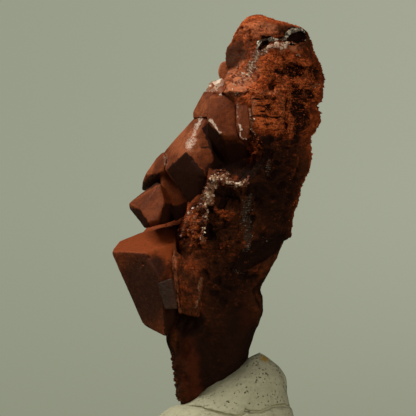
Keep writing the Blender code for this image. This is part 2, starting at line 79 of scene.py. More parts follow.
# Large forms, as (middle x or y, middle z, half width, half height, lean in degrees, rise).
FRONT_FORMS = (
    (5.4, 64.4, 4.4, 2.2, -10, 1.5),  # the knob
    (10.3, 63.2, 1.6, 1, 12, -3.4),  # the cleft's open end
    (5.4, 61.7, 0.9, 0.45, 42, -2.2),  # its slot
    (7.4, 62.5, 3, 0.35, 4, -0.5),  # between them
    (8, 61.6, 3.2, 0.55, 6, 0.5),  # its lower lip
    (12.4, 58.6, 1.8, 1.2, -30, 1),  # shoulder lump
    (2.6, 56.6, 1.6, 2.4, -35, -1.2),  # salmon hollow
    (9.9, 57.8, 1.3, 1, 10, -1.7),  # upper dark hollow
    (11.8, 53.9, 2, 0.7, 0, -1.3),  # middle one
    (5.7, 51.6, 2.9, 3.2, 0, -0.8),  # round the square panel
    (3.4, 54.6, 5.2, 0.35, 0, 0.7),  # ledge over the panel
    (11, 50.4, 1.2, 1.7, 10, -1.7),  # lower dark hollow
    (8.2, 48.3, 2.4, 0.8, 5, -0.7),  # under the panel
    (0.8, 44, 3.2, 2.6, 20, -5.4),  # under the upper crystals
    (-1.4, 49.4, 3.2, 4.4, -8, -3.6),  # their seat
    (-1.3, 41.7, 1.7, 1.1, 12, 2.1),  # druse ridge
    (1.7, 40.7, 1.6, 0.8, 4, 1.2),  # its right arm
    (-3.9, 35.8, 0.4, 3.6, -3, 1.1),  # its arm down
    (-0.6, 38.2, 1.8, 1.2, 0, -1.3),  # hollow inside the ridge
    (-0.8, 35.9, 1.8, 1, 0, 0.4),  # swelling below it
    (-4.8, 31.8, 1.2, 1.2, 0, 0.8),  # round knot
    (-2.9, 32.9, 0.6, 0.9, 0, -1.3),  # hole beside the knot
    (2.8, 34.8, 0.7, 4.2, 0, -0.7),  # long vein
    (5.2, 29.7, 3.4, 0.8, 29, -1.4),  # diagonal undercut
    (-6, 19, 1.6, 1.2, 20, -1.5),  # recess below the step crystal
    (-5.6, 13, 1, 5, 6, 0.9),  # ridge down the foot
)
RIGHT_FORMS = (
    (-0.5, 52.3, 3.6, 0.8, 24, -0.6),  # notch
    (0.5, 50.6, 3.6, 1.2, 28, 0.25),  # lump under the notch
    (1, 47.6, 4.4, 1, -20, -0.3),  # step under the lump
    (5.5, 56, 3, 2.6, 0, 0.9),  # rear shoulder
    (6, 41, 3.4, 2.4, 25, -1.1),  # rear hollow
    (-1.5, 25, 4, 1.2, 10, -0.5),  # waist
    (0, 60.8, 3, 0.8, -6, -0.3),  # saddle beside the knob
)
# A square panel stands out of its front, with a rim along its top and right.
PANEL = (((3.6, 49), (7.8, 48.8), (8.3, 50), (8.3, 53.6), (7.6, 54.3), (4.4, 54.3), (3.6, 53.4)), 1)
PANEL_RISE, PANEL_RIPPLE = 0.8, 0.4  # of the panel itself, and of the waves over it
PANEL_RIM = ((((4.2, 54.2), (7.6, 54.2), (8.15, 53.4), (8.2, 50.2)), 0.3, 0.5),)
# The groove is a dent with painted shade in it, on the dark mask.
PANEL_GROOVE = ((((8.75, 54), (8.8, 52), (8.75, 49)), 0.3, 0.6),)  # outside its right side
BREAK_EDGE_X, BREAK_EDGE_Y, BREAK_SLOPE = 4.1, -8.4, 1.85  # the knob's left face, one clean break
BREAK_FOOT, BREAK_FOOT_SLOPE, BREAK_RUN_OUT = 57, 0.9, 5  # its lower edge, and how fast it ends below that
BREAK_LIMIT = 0.25  # least share of the stone's depth that it leaves

CRAG, CRAG_SIZE = 0.75, 5  # rise and size of the swells all over it
PIT_SIZE, PIT_DEPTH = 1.5, 1.1
# Each layer of its weathering, as (rise, size, seed).
WEATHERING = ((0.9, 2.6, 31), (0.75, 1.2, 32), (0.65, 0.5, 33), (0.3, 0.28, 39))
WANDER = (0.45, 1.1)  # how far the edges of the patches below wander, and the size of their waves
HIDDEN_RUST, RUST_SETS_IN = 0.45, (22, 44)  # share of rust on the sides and back, and between which heights
KNOB_WORN = (60.5, 64)  # heights between which their roughness ends
DARK_BELOW, DARK_BLEND = 30, 9  # and where they turn dark towards the foot

# Where its surface is rough, and by how much: (middle x, middle z, half width, half height, lean, share).
ROUGH_PATCHES = (
    (9, 55, 7, 7.6, 0, 1),  # the weathered body
    (6, 64.5, 6, 2.4, 0, 0.24),  # the knob
    (2, 56.9, 2.8, 1.7, 40, -0.8),  # salmon hollow
    (9.5, 44, 4, 5, 0, 0.6),  # the body's lower right
    (4.2, 43.2, 3.2, 1.6, 38, 0.6),  # slope under the narrow crystal
    (4, 46.5, 1.4, 2.2, 0, 0.8),  # beside that crystal
    (-1, 36, 5.6, 6, 0, 0.9),  # the rusty middle
    (-5.3, 33.2, 3.4, 2.2, 59, 0.8),  # slope left of the ridge
    (8, 38, 4, 8, 0, 0.75),  # the dark right side
    (0.5, 26.5, 6, 5.4, 0, 0.6),  # below the middle
    (-3, 12, 7, 7, 0, 0.12),  # the foot
)
# Colours laid on it, in the same form. Bands are (points, half width, share).
PALE_PATCHES = (
    (1.8, 56.8, 2.6, 1.6, 35, 0.14),  # salmon hollow
    (3.7, 59, 0.7, 2, -20, 0.42),  # its right side
    (-2.4, 55.3, 1.6, 0.8, 0, 0.8),  # broken white edge on the left
    (1.1, 54.1, 0.8, 0.35, 0, 0.5),  # beside the narrow crystal
    (-5.9, 34.2, 2.7, 1.3, 59, 0.1),  # slope left of the ridge
    (13.6, 55.6, 0.6, 0.3, 0, 0.6),  # light spots by the right edge
    (11, 60.4, 0.4, 0.3, 0, 0.6),
    (2.9, 41.1, 0.35, 0.35, 0, 1),  # sparkling end of the ridge
)
PALE_BANDS = (
    (((-3.1, 38), (-3.2, 39.4), (-2.6, 40.8), (-1.7, 41.6), (-0.9, 41.8)), 1, 0.85),  # druse ridge
    (((-0.6, 41.2), (0, 40.5), (0.8, 40.1), (1.7, 40.4), (2.4, 40.6)), 0.7, 0.7),  # its right arm
    (((-3.1, 38), (-3.9, 36.8), (-4, 34.2), (-3.7, 31.8)), 0.35, 0.8),  # its arm down
    (((-7.6, 32.6), (-6.2, 35.8), (-4.2, 37.4)), 0.3, 0.4),  # edge of the slope
    (((3.3, 51.8), (3.9, 48.1)), 0.16, 0.6),  # thin bright line
    (((4.9, 60.6), (5.8, 61.2), (7.9, 61.5), (9.3, 61.9)), 0.45, 0.7),  # the cleft's lower lip
    (((4.3, 60.6), (4.2, 59.2)), 0.2, 0.7),  # pale line below its left end
)
RUST_PATCHES = (
    (4.8, 64.4, 5.2, 2.8, 0, 0.47),  # the knob
    (7.7, 64.3, 2.8, 1, -15, -0.32),  # its right side, with less rust: painted shade where it turns from the light
    (8, 57, 6, 4.4, 0, 1),  # the body below the cleft
    (7, 51.4, 5, 4, 0, 0.75),  # the panel
    (-0.7, 36, 1.9, 1.1, 0, 0.52),  # inside the ridge
    (-4.8, 31.8, 1.4, 1.3, 0, 0.6),  # round knot
    (-5.9, 34.2, 3, 1.6, 59, 0.8),  # rusty slope
    (-5.4, 28.2, 1.6, 1.8, 0, 0.1),  # above the step crystal
    (0.5, 28.5, 5.5, 5, 0, 0.2),  # below the middle
    (11, 45, 3.4, 5, 0, 0.15),  # right side
    (3.9, 45.8, 1.1, 2.2, 0, 0.55),  # beside the narrow crystal
    (12, 52, 3, 5, 0, 0.3),  # its upper part
)
# Darker colour laid on it, painted shade for the most part: in its hollows, pits and cleft, under the
# crystals, the panel and the undercut, and along the putty. Over the foot and the lower right side it is
# partly the stone's own nearly black coat and partly painted shade.
SHADE_AND_DARK_PATCHES = (
    (-0.2, 44.2, 3, 2.8, 10, 0.95),  # under the upper crystals
    (9.9, 57.8, 1.6, 1.1, 10, 0.75),  # upper dark hollow
    (11.9, 53.9, 2.3, 0.8, 0, 0.6),  # middle one
    (11.4, 50.2, 1.3, 1.9, 10, 0.65),  # lower dark hollow
    (13, 57.6, 1.8, 1.6, 0, 0.6),  # below the shoulder
    (10.9, 52.2, 0.9, 2.4, 0, 0.6),  # right of the panel
    (7, 51.2, 1.8, 1.9, 0, 0.28),  # the panel's right half
    (5.4, 47.2, 2.2, 1, 0, 0.65),  # under the panel
    (10.6, 47.6, 0.9, 1.6, 0, 0.6),  # hollow under the panel's right
    (4, 42.8, 3.2, 1, 38, 0.75),  # slope under the narrow crystal
    (3.6, 48, 0.6, 1.4, 0, 0.6),  # grainy gap left of it
    (7.4, 62.5, 3.2, 0.3, 4, 0.3),  # inside the cleft
    (5.4, 61.8, 0.9, 0.45, 42, 1),  # its slot
    (10.3, 63.2, 1.7, 1, 12, 1.4),  # its open end
    (7.6, 38.5, 4.6, 8.5, 0, 0.66),  # right side
    (0, 28.5, 6.5, 5, 0, 0.4),  # below the middle
    (4, 39.4, 1.6, 1, 0, 0.7),  # beside the ridge
    (-0.6, 38.7, 1.9, 1.4, 0, 0.7),  # hollow inside the ridge
    (5, 30.1, 4.2, 1.5, 29, 0.9),  # diagonal undercut
    (-2.9, 32.9, 0.8, 1.1, 0, 1),  # hole beside the knot
    (2, 24, 8, 4, 0, 0.35),  # start of the foot
    (2.4, 17.5, 2.5, 3.4, 0, 0.25),  # the foot's upper right
    (-1, 12, 10, 10, 0, 0.8),  # all of the foot
    (-5.9, 19, 2, 1.6, 20, 1),  # recess below the step crystal
    (1, 10.4, 5, 1.6, 32, 0.6),  # along the putty
)
SALMON_PATCHES = (
    (2, 56.9, 3, 1.9, 40, 1),  # hollow below the knob
    (-1.6, 55.4, 2.4, 0.9, 0, 0.9),  # broken edge on the left
    (8, 61.3, 3.4, 0.7, 5, 0.7),  # under the cleft
    (4.2, 64.6, 4, 2.4, -10, 0.42),  # the knob
    (-5.9, 34.2, 2.6, 1.3, 59, 0.25),  # slope left of the ridge
)
# Painted highlights, in salmon, along the ledge and the panel's edges, where they catch the light.
SALMON_HIGHLIGHT_BANDS = (
    (((-2.6, 54.7), (2.6, 54.7), (8, 54.5)), 0.2, 0.7),  # ledge over the panel
    (((8, 54), (8.25, 53), (8.25, 50)), 0.12, 0.45),  # the panel's right rim
    (((3.7, 53.6), (3.6, 49.2)), 0.16, 0.8),  # its left edge
)
RED_PATCHES = (
    (-5.8, 11, 1.8, 6.5, 8, 0.9),  # ridge down the foot
    (0, 16, 5, 5, 0, 0.35),  # the foot's front
    (3.2, 22, 1.8, 4, 0, 0.4),  # its upper right
)
KNOB_BREAK = ((  # the knob's broken left face
    (-0.4, 57.1), (1.9, 58.9), (3.3, 60.2), (3.9, 61.3), (3.3, 62.7), (1.9, 63.2), (0, 61.5), (-0.9, 59.7),
), 0.52)
VEIN_BANDS = (
    (((3.1, 38.4), (2.7, 35.7), (3.1, 32.6), (2.8, 30.1)), 0.6, 0.6),  # grey vein
    (((6, 44), (6.3, 41.6)), 0.4, 0.4),  # grey streak
    (((1.2, 27.1), (2.6, 26.4)), 0.4, 0.3),  # green-grey cluster
    (((5.6, 31.9), (7.2, 31.6)), 0.3, 0.35),  # streak above the undercut
)


def glide(table, height):
    """Smooth curve through (height, distance) points: cubic pieces whose slopes never overshoot."""
    at, value = np.array(table).T
    step = np.diff(value) / np.diff(at)
    same_way = step[:-1] * step[1:] > 0
    total = np.where(same_way, step[:-1] + step[1:], 1)
    inner = np.where(same_way, 2 * step[:-1] * step[1:] / total, 0)
    slope = np.concatenate((step[:1], inner, step[-1:]))
    height = np.clip(height, at[0], at[-1])
    i = np.clip(np.searchsorted(at, height, side="right") - 1, 0, len(at) - 2)
    width = at[i + 1] - at[i]
    t = (height - at[i]) / width
    return (
        value[i] * (1 + 2 * t) * (1 - t) ** 2
        + value[i + 1] * t**2 * (3 - 2 * t)
        + width * t * (1 - t) * (slope[i] * (1 - t) - slope[i + 1] * t)
    )


def lumps(points, size, seed):
    """Gradient noise, about -1 to 1: a random slope at each corner of a cubic lattice, blended smoothly."""
    slopes = np.random.default_rng(seed).normal(size=(256, 3))
    slopes /= np.linalg.norm(slopes, axis=1, keepdims=True)
    points = points / size
    cell = np.floor(points).astype(int)
    inside = points - cell
    ease = inside**3 * (inside * (inside * 6 - 15) + 10)
    total = np.zeros(points.shape[:-1])
    for corner in product((0, 1), repeat=3):
        lattice = cell + corner
        pick = (lattice[..., 0] * 73 + lattice[..., 1] * 157 + lattice[..., 2] * 211) % 256
        weight = np.prod(np.where(corner, ease, 1 - ease), axis=-1)
        total += weight * np.sum(slopes[pick] * (inside - corner), axis=-1)
    return 1.6 * total


def fade(value, low, high):
    """0 below low, 1 above high, and 3t^2 - 2t^3 between them."""
    t = np.clip((value - low) / (high - low), 0, 1)
    return t * t * (3 - 2 * t)


def patches(forms, side, height):
    """The sum of these forms at (side, height), each a soft-edged ellipse."""
    rise = np.zeros(np.shape(height))
    for middle, middle_height, half_width, half_height, lean, form_rise in forms:
        turn = math.radians(lean)
        along = (side - middle) * math.cos(turn) + (height - middle_height) * math.sin(turn)
        across = (height - middle_height) * math.cos(turn) - (side - middle) * math.sin(turn)
        reach = np.hypot(along / half_width, across / half_height)
        rise += form_rise * (1 - fade(reach, 0.4, 1.5))
    return rise


def bands(lines, x, z):
    """The strongest of these at (x, z): a band fades with the distance to its line of points."""
    strongest = np.zeros(np.shape(z))
    for points, half_width, share in lines:
        near = np.full(np.shape(z), np.inf)
        for (x0, z0), (x1, z1) in zip(points, points[1:]):
            run_x, run_z = x1 - x0, z1 - z0
            t = np.clip(((x - x0) * run_x + (z - z0) * run_z) / (run_x**2 + run_z**2), 0, 1)
            near = np.minimum(near, np.hypot(x - x0 - t * run_x, z - z0 - t * run_z))
        strongest = np.maximum(strongest, share * (1 - fade(near / half_width, 0.3, 1.3)))
    return strongest


def facets(outlines, x, z):
    """The strongest of these at (x, z): a convex outline filled in, which goes round anticlockwise. The
    least distance inside its sides fades from 0 to its share over a quarter of a millimetre."""
    strongest = np.zeros(np.shape(z))
    for outline, share in outlines:
        inside = np.full(np.shape(z), np.inf)
        for (x0, z0), (x1, z1) in zip(outline, outline[1:] + outline[:1]):
            side = ((x1 - x0) * (z - z0) - (z1 - z0) * (x - x0)) / math.hypot(x1 - x0, z1 - z0)
            inside = np.minimum(inside, side)
        strongest = np.maximum(strongest, share * fade(inside, -0.1, 0.15))
    return strongest


def wandering(points, reach, size, seed):
    """The x and z of these points, each pushed about by noise, up to this reach, so that edges wander."""
    push = [reach * lumps(points, size, seed + i) for i in (0, 1)]
    return points[..., 0] + push[0], points[..., 2] + push[1]


def break_plane(x, z):
    """The depth of the knob's left break at (x, z). Below its lower edge it runs out of the stone."""
    below = np.maximum(BREAK_FOOT + BREAK_FOOT_SLOPE * x - z, 0)
    return BREAK_EDGE_Y + BREAK_SLOPE * (BREAK_EDGE_X - x) - BREAK_RUN_OUT * below


def section(across, along, squareness):
    """A unit circle's points, pushed out towards its square."""
    grow = (np.abs(across) ** squareness + np.abs(along) ** squareness) ** (-1 / squareness)
    return across * grow, along * grow


def stone_surface(across, along, height):
    """Points for a direction seen from above and a height: a squared oval between the edge curves, with
    the forms raised on its front and right side, the break cut off, and lumps along the oval's outward
    direction."""
    left, right = glide(STONE_LEFT, height), glide(STONE_RIGHT, height)
    wide, deep = section(across, along, STONE_SQUARENESS)
    depth = np.where(deep < 0, glide(STONE_FRONT, height), glide(STONE_BACK, height))
    x = (left + right) / 2 + (right - left) / 2 * wide
    y = depth * deep
    x = x + patches(RIGHT_FORMS, y, height) * fade(wide, 0.75, 1)
    forward = fade(-deep, 0.2, 0.8)
    y = y - patches(FRONT_FORMS, x, height) * forward
    y = np.where(deep < 0, np.maximum(y, np.minimum(break_plane(x, height), BREAK_LIMIT * y)), y)
    points = np.stack((x, y, height), axis=-1)
    slack = fade(depth, 0.6, 4) * fade(right - left, 1, 6)
    crag = CRAG * (lumps(points, CRAG_SIZE, 7) + 0.4 * lumps(points, 0.4 * CRAG_SIZE, 8))
    points[..., 0] += crag * wide * slack * (0.35 + 0.65 * fade(np.abs(deep), 0.15, 0.6))
    points[..., 1] += crag * deep * slack
    return points


def around(count):
    """This many angles, evenly spaced round a circle."""
    return np.linspace(-np.pi, np.pi, count, endpoint=False)


def weathered(points, squeeze, layers):
    """How far weathering raises these points: the sum over its layers of rise times (|noise| - 0.3), with
    the noise squeezed along each axis."""
    return sum(rise * (np.abs(lumps(points * squeeze, size, seed)) - 0.3) for rise, size, seed in layers)


def outward(points):
    """Unit normals of a closed tube of rings: the cross product of its slopes along and up."""
    along = np.roll(points, -1, axis=1) - np.roll(points, 1, axis=1)
    normal = np.cross(along, np.gradient(points, axis=0))
    return normal / np.maximum(np.linalg.norm(normal, axis=-1, keepdims=True), 1e-9)


def shell(rings):
    """Points and faces of a closed surface from rings of points, in millimetres: quads between the rings
    and a fan to a pole at each end. The faces are turned round where the volume comes out negative."""
    rows, columns = rings.shape[:2]
    grid = np.arange(rows * columns).reshape(rows, columns)
    beside = np.roll(grid, -1, axis=1)
    quads = np.stack((grid[:-1], beside[:-1], beside[1:], grid[1:]), axis=-1).reshape(-1, 4)
    foot = np.stack((np.full(columns, rows * columns), beside[0], grid[0]), axis=-1)
    crown = np.stack((np.full(columns, rows * columns + 1), grid[-1], beside[-1]), axis=-1)
    points = np.concatenate((rings.reshape(-1, 3), rings[:1].mean(axis=1), rings[-1:].mean(axis=1)))
    first, second, third, _ = np.moveaxis(points[quads], 1, 0)
    if np.sum(first * np.cross(second, third)) < 0:
        quads, foot, crown = quads[:, ::-1], foot[:, ::-1], crown[:, ::-1]
    return points, [quads, foot, crown]


def build(name, points, faces, finish, attributes):
    """One object from points in millimetres and faces. Each attribute has a value for every point."""
    mesh = bpy.data.meshes.new(name)
    mesh.from_pydata(points * MM, [], faces)
    for attribute, values in attributes.items():
        made = mesh.attributes.new(attribute, "FLOAT", "POINT")
        made.data.foreach_set("value", values.astype(np.float32))
    mesh.materials.append(finish)
    made = bpy.data.objects.new(name, mesh)
    bpy.context.scene.collection.objects.link(made)
    return made


def skin(name, shells, finish, masks=None):
    """One smooth object from closed surfaces, each given as rings of points. A mask has an array of values
    for each surface, and its value at a pole is the mean of the ring beside it."""
    points, faces, start = [], [], 0
    for rings in shells:
        own, corners = shell(rings)
        points.append(own)
        faces += [face for kind in corners for face in (kind + start).tolist()]
        start += len(own)
    made = build(name, np.concatenate(points), faces, finish, {
        mask: np.concatenate([
            part for own in values for part in (own.ravel(), own[:1].mean(axis=1), own[-1:].mean(axis=1))
        ])
        for mask, values in (masks or {}).items()
    })
    made.data.shade_smooth()
    return made


class Wire:
    """An output of a shader node. Arithmetic on wires that carry numbers adds Math nodes."""

    def __init__(self, tree, socket):
        self.tree, self.socket = tree, socket

    def node(self, kind, settings=None, sockets=None, output=0):
        """Adds a node: its settings first, then the values or wires of its sockets. Gives one output."""
        made = self.tree.nodes.new(kind)
        for key, value in (settings or {}).items():
            setattr(made, key, value)
        for key, value in (sockets or {}).items():
            if isinstance(value, Wire):
                self.tree.links.new(value.socket, made.inputs[key])
            else:
                made.inputs[key].default_value = value
        return Wire(self.tree, made.outputs[output])

    def math(self, operation, first, second):
        return self.node("ShaderNodeMath", {"operation": operation}, {0: first, 1: second})

    def __add__(self, other):
        return self.math("ADD", self, other)

    def __sub__(self, other):
        return self.math("SUBTRACT", self, other)

    def __rsub__(self, other):
        return self.math("SUBTRACT", other, self)

    def __mul__(self, other):
        return self.math("MULTIPLY", self, other)

    __radd__, __rmul__ = __add__, __mul__

    def mix(self, low, high):
        """The colour that goes from low to high as this wire goes from 0 to 1."""
        low, high = (c if isinstance(c, Wire) else (*c, 1) for c in (low, high))
        return self.node("ShaderNodeMix", {"data_type": "RGBA"}, {0: self, 6: low, 7: high}, 2)

    def step(self, low, high):
        """0 where this wire is below low, 1 where it is above high, and smooth between them."""
        return self.node(
            "ShaderNodeMapRange", {"interpolation_type": "SMOOTHSTEP"}, {0: self, 1: low, 2: high}
        )

    def noise(self, size, detail=2, rough=0.55):
        """Noise at these coordinates, with its large features this many millimetres apart."""
        return self.node("ShaderNodeTexNoise", {}, {
            "Vector": self, "Scale": 1 / (size * MM), "Detail": detail, "Roughness": rough,
        })

    def cells(self, size):
        """Distance at these coordinates to the nearest of points scattered this many millimetres apart."""
        return self.node("ShaderNodeTexVoronoi", {}, {"Vector": self, "Scale": 1 / (size * MM)})

    def stretched(self, x, y, z):
        """These coordinates, scaled along each axis."""
        return self.node(
            "ShaderNodeMapping", {"vector_type": "TEXTURE"}, {"Vector": self, "Scale": (x, y, z)}
        )

    def __getitem__(self, name):
        """The attribute of this name."""
        return self.node("ShaderNodeAttribute", {"attribute_name": name}, output=2)


def new_finish(name):
    """A material, and its Object coordinates as a wire."""
    made = bpy.data.materials.new(name)
    made.use_nodes = True
    coordinates = made.node_tree.nodes.new("ShaderNodeTexCoord")
    return made, Wire(made.node_tree, coordinates.outputs["Object"])


def complete(finish, colour, roughness, height, relief, specular=0.5):
    """Links a finish's colour and roughness, and its height wire as a bump of this many millimetres."""
    shader = finish.node_tree.nodes["Principled BSDF"]
    shader.inputs["Specular IOR Level"].default_value = specular
    bump = height.node("ShaderNodeBump", {}, {"Height": height, "Distance": relief * MM, "Strength": 1})
    for key, wire in (("Base Color", colour), ("Roughness", roughness), ("Normal", bump)):
        finish.node_tree.links.new(wire.socket, shader.inputs[key])


# Rust from nearly black to orange, over which pale calcite and grey clay show.
BLACK_RUST_AND_SHADE, RUST_DEEP = (0.018, 0.0065, 0.003), (0.085, 0.024, 0.008)
RUST_RED, RUST_ORANGE, RUST_WINE = (0.62, 0.105, 0.022), (0.92, 0.21, 0.052), (0.07, 0.015, 0.005)
SALMON_RUST_AND_HIGHLIGHT, SUGAR, CLAY = (0.62, 0.2, 0.085), (0.58, 0.32, 0.17), (0.06, 0.046, 0.033)

stone_finish, at = new_finish("rusty_stone")
broad, fine, grit = at.noise(3, 4), at.noise(0.9, 5, 0.65), at.noise(0.28, 3, 0.75)
ripple = at.stretched(2, 1, 0.6).noise(0.6, 4, 0.75)
rust = (at["rust"] * 0.65 + broad * 0.4 + fine * 0.3 + ripple * 0.5 - 0.53).step(0, 0.6)
tone = rust.mix(RUST_DEEP, RUST_RED)
tone = (rust * 0.75 + grit * 0.7 + ripple * 0.6 - 0.86).step(0.15, 0.6).mix(tone, RUST_ORANGE)
# Painted shade: black where the bump's ripple and grit lie low.
sunk = (at["rough"] * 0.35 - ripple * 0.9 - grit * 0.5 + 0.46).step(0, 0.22)
tone = (sunk * 0.75).mix(tone, BLACK_RUST_AND_SHADE)
# Salmon: the stone's own patches, and painted highlights along the ledge and the panel's edges.
tone = (at["salmon"] + fine * 0.5 + grit * 0.5 - 0.5).step(0.1, 0.7).mix(tone, SALMON_RUST_AND_HIGHLIGHT)
# Painted shade for the most part, and the foot's own nearly black coat: the dark mask.
tone = (at["dark"] * 1.2 - ripple * 0.4 - fine * 0.3 + 0.1).step(0.1, 0.75).mix(tone, BLACK_RUST_AND_SHADE)
tone = (at["red"] - fine * 0.5 + 0.1).step(0.1, 0.8).mix(tone, RUST_WINE)
tone = (at["grey"] + grit * 1.2 - 0.9).step(0.1, 0.5).mix(tone, CLAY)
# Painted shade: black specks where this noise, which also sinks the bump, lies low.
speck = at.noise(0.6, 7, 0.9)
speck_shade_share = at["rough"] * 0.55 - at["salmon"] * 0.4 + 0.3
tone = ((1 - speck.step(0.38, 0.5)) * speck_shade_share).mix(tone, BLACK_RUST_AND_SHADE)
lines = at.stretched(3, 1.5, 0.4).noise(0.55, 4, 0.7)
tone = ((1 - lines.step(0.36, 0.48)) * at["rust"] * 0.6).mix(tone, RUST_DEEP)
tone = ((speck * 1.2 + fine * 0.4 - 0.88).step(0, 0.14) * at["rough"] * 0.4).mix(tone, RUST_ORANGE)
sugar = (at["pale"] + grit * 0.9 + fine * 0.4 - 0.9).step(0.05, 0.55)
tone = (sugar * 0.8).mix(tone, SUGAR)
crumbs = at.cells(0.35)
complete(
    stone_finish, tone, 0.95 - sugar * 0.3 - at["dark"] * 0.2,
    (fine * 0.4 + ripple * 0.5 + lines * 0.5 + grit * 0.6 + speck * 0.8 + crumbs * 0.3)
    * (at["rough"] * 0.75 + 0.25),
    0.42, 0.05,
)

turn = around(STONE_COLUMNS)
turn = (turn - STONE_FRONT_SHARE * np.cos(turn))[None, :]
share = np.linspace(0, 1, STONE_ROWS)
share = (share - STONE_CROWDING * np.sin(2 * np.pi * share) / (2 * np.pi))[:, None]
height = STONE_LEFT[0][0] + (STONE_LEFT[-1][0] - STONE_LEFT[0][0]) * share
across, along, height = np.broadcast_arrays(np.cos(turn), np.sin(turn), height)
stone = stone_surface(across, along, height)
normal = outward(stone)
x, z = wandering(stone, *WANDER, 41)
facing = fade(-normal[..., 1], 0, 0.5)
in_front = np.maximum(facing, fade(-stone[..., 1], 2, 4))
elsewhere = HIDDEN_RUST * fade(z, *RUST_SETS_IN)
worn = 1 - 0.7 * fade(z, *KNOB_WORN)
rough = np.clip(patches(ROUGH_PATCHES, x, z), 0, 1) * facing + elsewhere * worn * (1 - facing)
pits = fade(lumps(stone * (0.8, 1, 1.2), PIT_SIZE, 34), 0.22, 0.62)
crust = weathered(stone, (0.7, 1, 1.3), WEATHERING) - PIT_DEPTH * pits - 0.3
ridges = 0.16 * lumps(stone * (1, 1, 0.22), 0.8, 35) * fade(x, 3, 7) * fade(48 - z, 0, 8)
panel, rim, groove = facets((PANEL,), x, z), bands(PANEL_RIM, x, z), bands(PANEL_GROOVE, x, z)
crust = crust * (1 - 0.7 * np.maximum(panel, 2 * rim))
ripple_depth = 0.2 * rough * fade(z, 46, 49) * (1 - panel) + PANEL_RIPPLE * panel
ripples = lumps(stone * (0.4, 1, 1.9), 0.9, 38)
ridges = ridges + ripple_depth * ripples + PANEL_RISE * panel + rim - groove
stone = stone + normal * ((0.1 + 0.9 * rough) * crust + ridges * facing)[..., None]
pale = np.clip(patches(PALE_PATCHES, x, z) + bands(PALE_BANDS, x, z), 0, 1) * facing
vein = bands(VEIN_BANDS, x, z) * facing
masks = {
    "rust": np.clip(patches(RUST_PATCHES, x, z), 0, 1) * facing + elsewhere * (1 - facing)
    + 0.6 * crust * rough,
    # dark: the patches, the sides darker towards the foot, and painted shade in the pits, in the ripples'
    # troughs and in the groove
    "dark": np.clip(patches(SHADE_AND_DARK_PATCHES, x, z), 0, 1) * in_front
    + fade(DARK_BELOW - z, 0, DARK_BLEND) * (1 - facing) + 0.55 * pits * rough
    + 2 * ripple_depth * fade(-ripples, 0.05, 0.4) + 2 * groove,
    "grey": facets((KNOB_BREAK,), x, z) * facing + vein,
    "pale": pale,
    "red": patches(RED_PATCHES, x, z) * facing,
    # salmon: the stone's salmon patches and the painted highlights of the bands
    "salmon": (patches(SALMON_PATCHES, x, z) + bands(SALMON_HIGHLIGHT_BANDS, x, z)) * facing,
    "rough": np.clip(rough, 0, 1),
}
matrix = skin("matrix_stone", [stone], stone_finish, {mask: [values] for mask, values in masks.items()})
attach(matrix, "root")
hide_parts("matrix")


# ---- Sugary calcite and rust crumbs on the matrix ------------------------------------------------
# Grains of calcite a fraction of a millimetre long cover the ridge in its middle, the grey vein and the
# broken edges, where they grew. Crumbs of rust have settled all over the weathered body, and larger ones
# down the foot's left edge.

SUGAR_GRAINS, SUGAR_SIZE = 14000, (0.03, 0.15)  # half widths, in millimetres
RUST_CRUMBS, CRUMB_SIZE = 9000, (0.025, 0.075)
VEIN_GRAINS, VEIN_SIZE = 900, (0.025, 0.08)
EDGE_CHIPS, CHIP_SIZE = 120, (0.2, 0.5)
FOOT_BUMPS, BUMP_SIZE = 90, (0.07, 0.2)
BUMPY_BANDS = ((((-8.8, 13.6), (-8.4, 10.6), (-7.6, 5.8)), 0.5, 1),)  # the foot's left edge
CHIP_PATCHES = ((-2.5, 55, 1.5, 0.9, 10, 1),)  # broken edge above the upper crystals


def pick(weight, count, seed):
    """This many places on a surface, drawn at random, each with a chance in step with its weight."""
    weight = weight.ravel() / weight.sum()
    return np.unique(np.random.default_rng(seed).choice(weight.size, count, p=weight))


def scatter(name, places, normals, size, finish, seed, lightness):
    """Small rhombs at these places, each turned at random and half sunk: the eight corners of a cube, with
    its top slid sideways, turned by a random quaternion, times a random size, mostly small. Each has a
    random shade around its lightness."""
    random = np.random.default_rng(seed)
    count = len(places)
    rhomb = np.array(list(product((-1, 1), repeat=3)), float)
    rhomb[:, 0] += 0.25 * rhomb[:, 2]
    q = random.normal(size=(count, 4))
    a, b, c, d = (q / np.linalg.norm(q, axis=1, keepdims=True)).T
    turned = np.array((
        (1 - 2 * (c * c + d * d), 2 * (b * c - a * d), 2 * (b * d + a * c)),
        (2 * (b * c + a * d), 1 - 2 * (b * b + d * d), 2 * (c * d - a * b)),
        (2 * (b * d - a * c), 2 * (c * d + a * b), 1 - 2 * (b * b + c * c)),
    )).transpose(2, 0, 1)
    half = size[0] + (size[1] - size[0]) * random.uniform(0, 1, count) ** 1.8
    middle = places + normals * (0.25 * half)[:, None]
    points = middle[:, None] + np.einsum("kj,nij->nki", rhomb, turned) * half[:, None, None]
    sides = np.array(((0, 1, 3, 2), (4, 6, 7, 5), (0, 4, 5, 1), (2, 3, 7, 6), (0, 2, 6, 4), (1, 5, 7, 3)))
    faces = (np.arange(count)[:, None, None] * 8 + sides).reshape(-1, 4)
    shade = np.repeat(random.uniform(-0.5, 0.5, count) + lightness, 8)
    return build(name, points.reshape(-1, 3), faces.tolist(), finish, {"shade": shade})


def calcite_grains(name, brown, tan, white):
    """A finish for grains that goes from brown over tan to white with their shade."""
    finish, at = new_finish(name)
    shade, cloud = at["shade"], at.noise(1.4, 3)
    stain = (shade * 0.8 + cloud * 0.9 - 0.85).step(-0.2, 0.45)
    tone = (shade * 1.1 + cloud * 0.5 - 0.72).step(0.1, 0.6).mix(stain.mix(brown, tan), white)
    complete(finish, tone, 0.5 - shade * 0.25, at.noise(0.12, 2), 0.02, 0.4)
    return finish


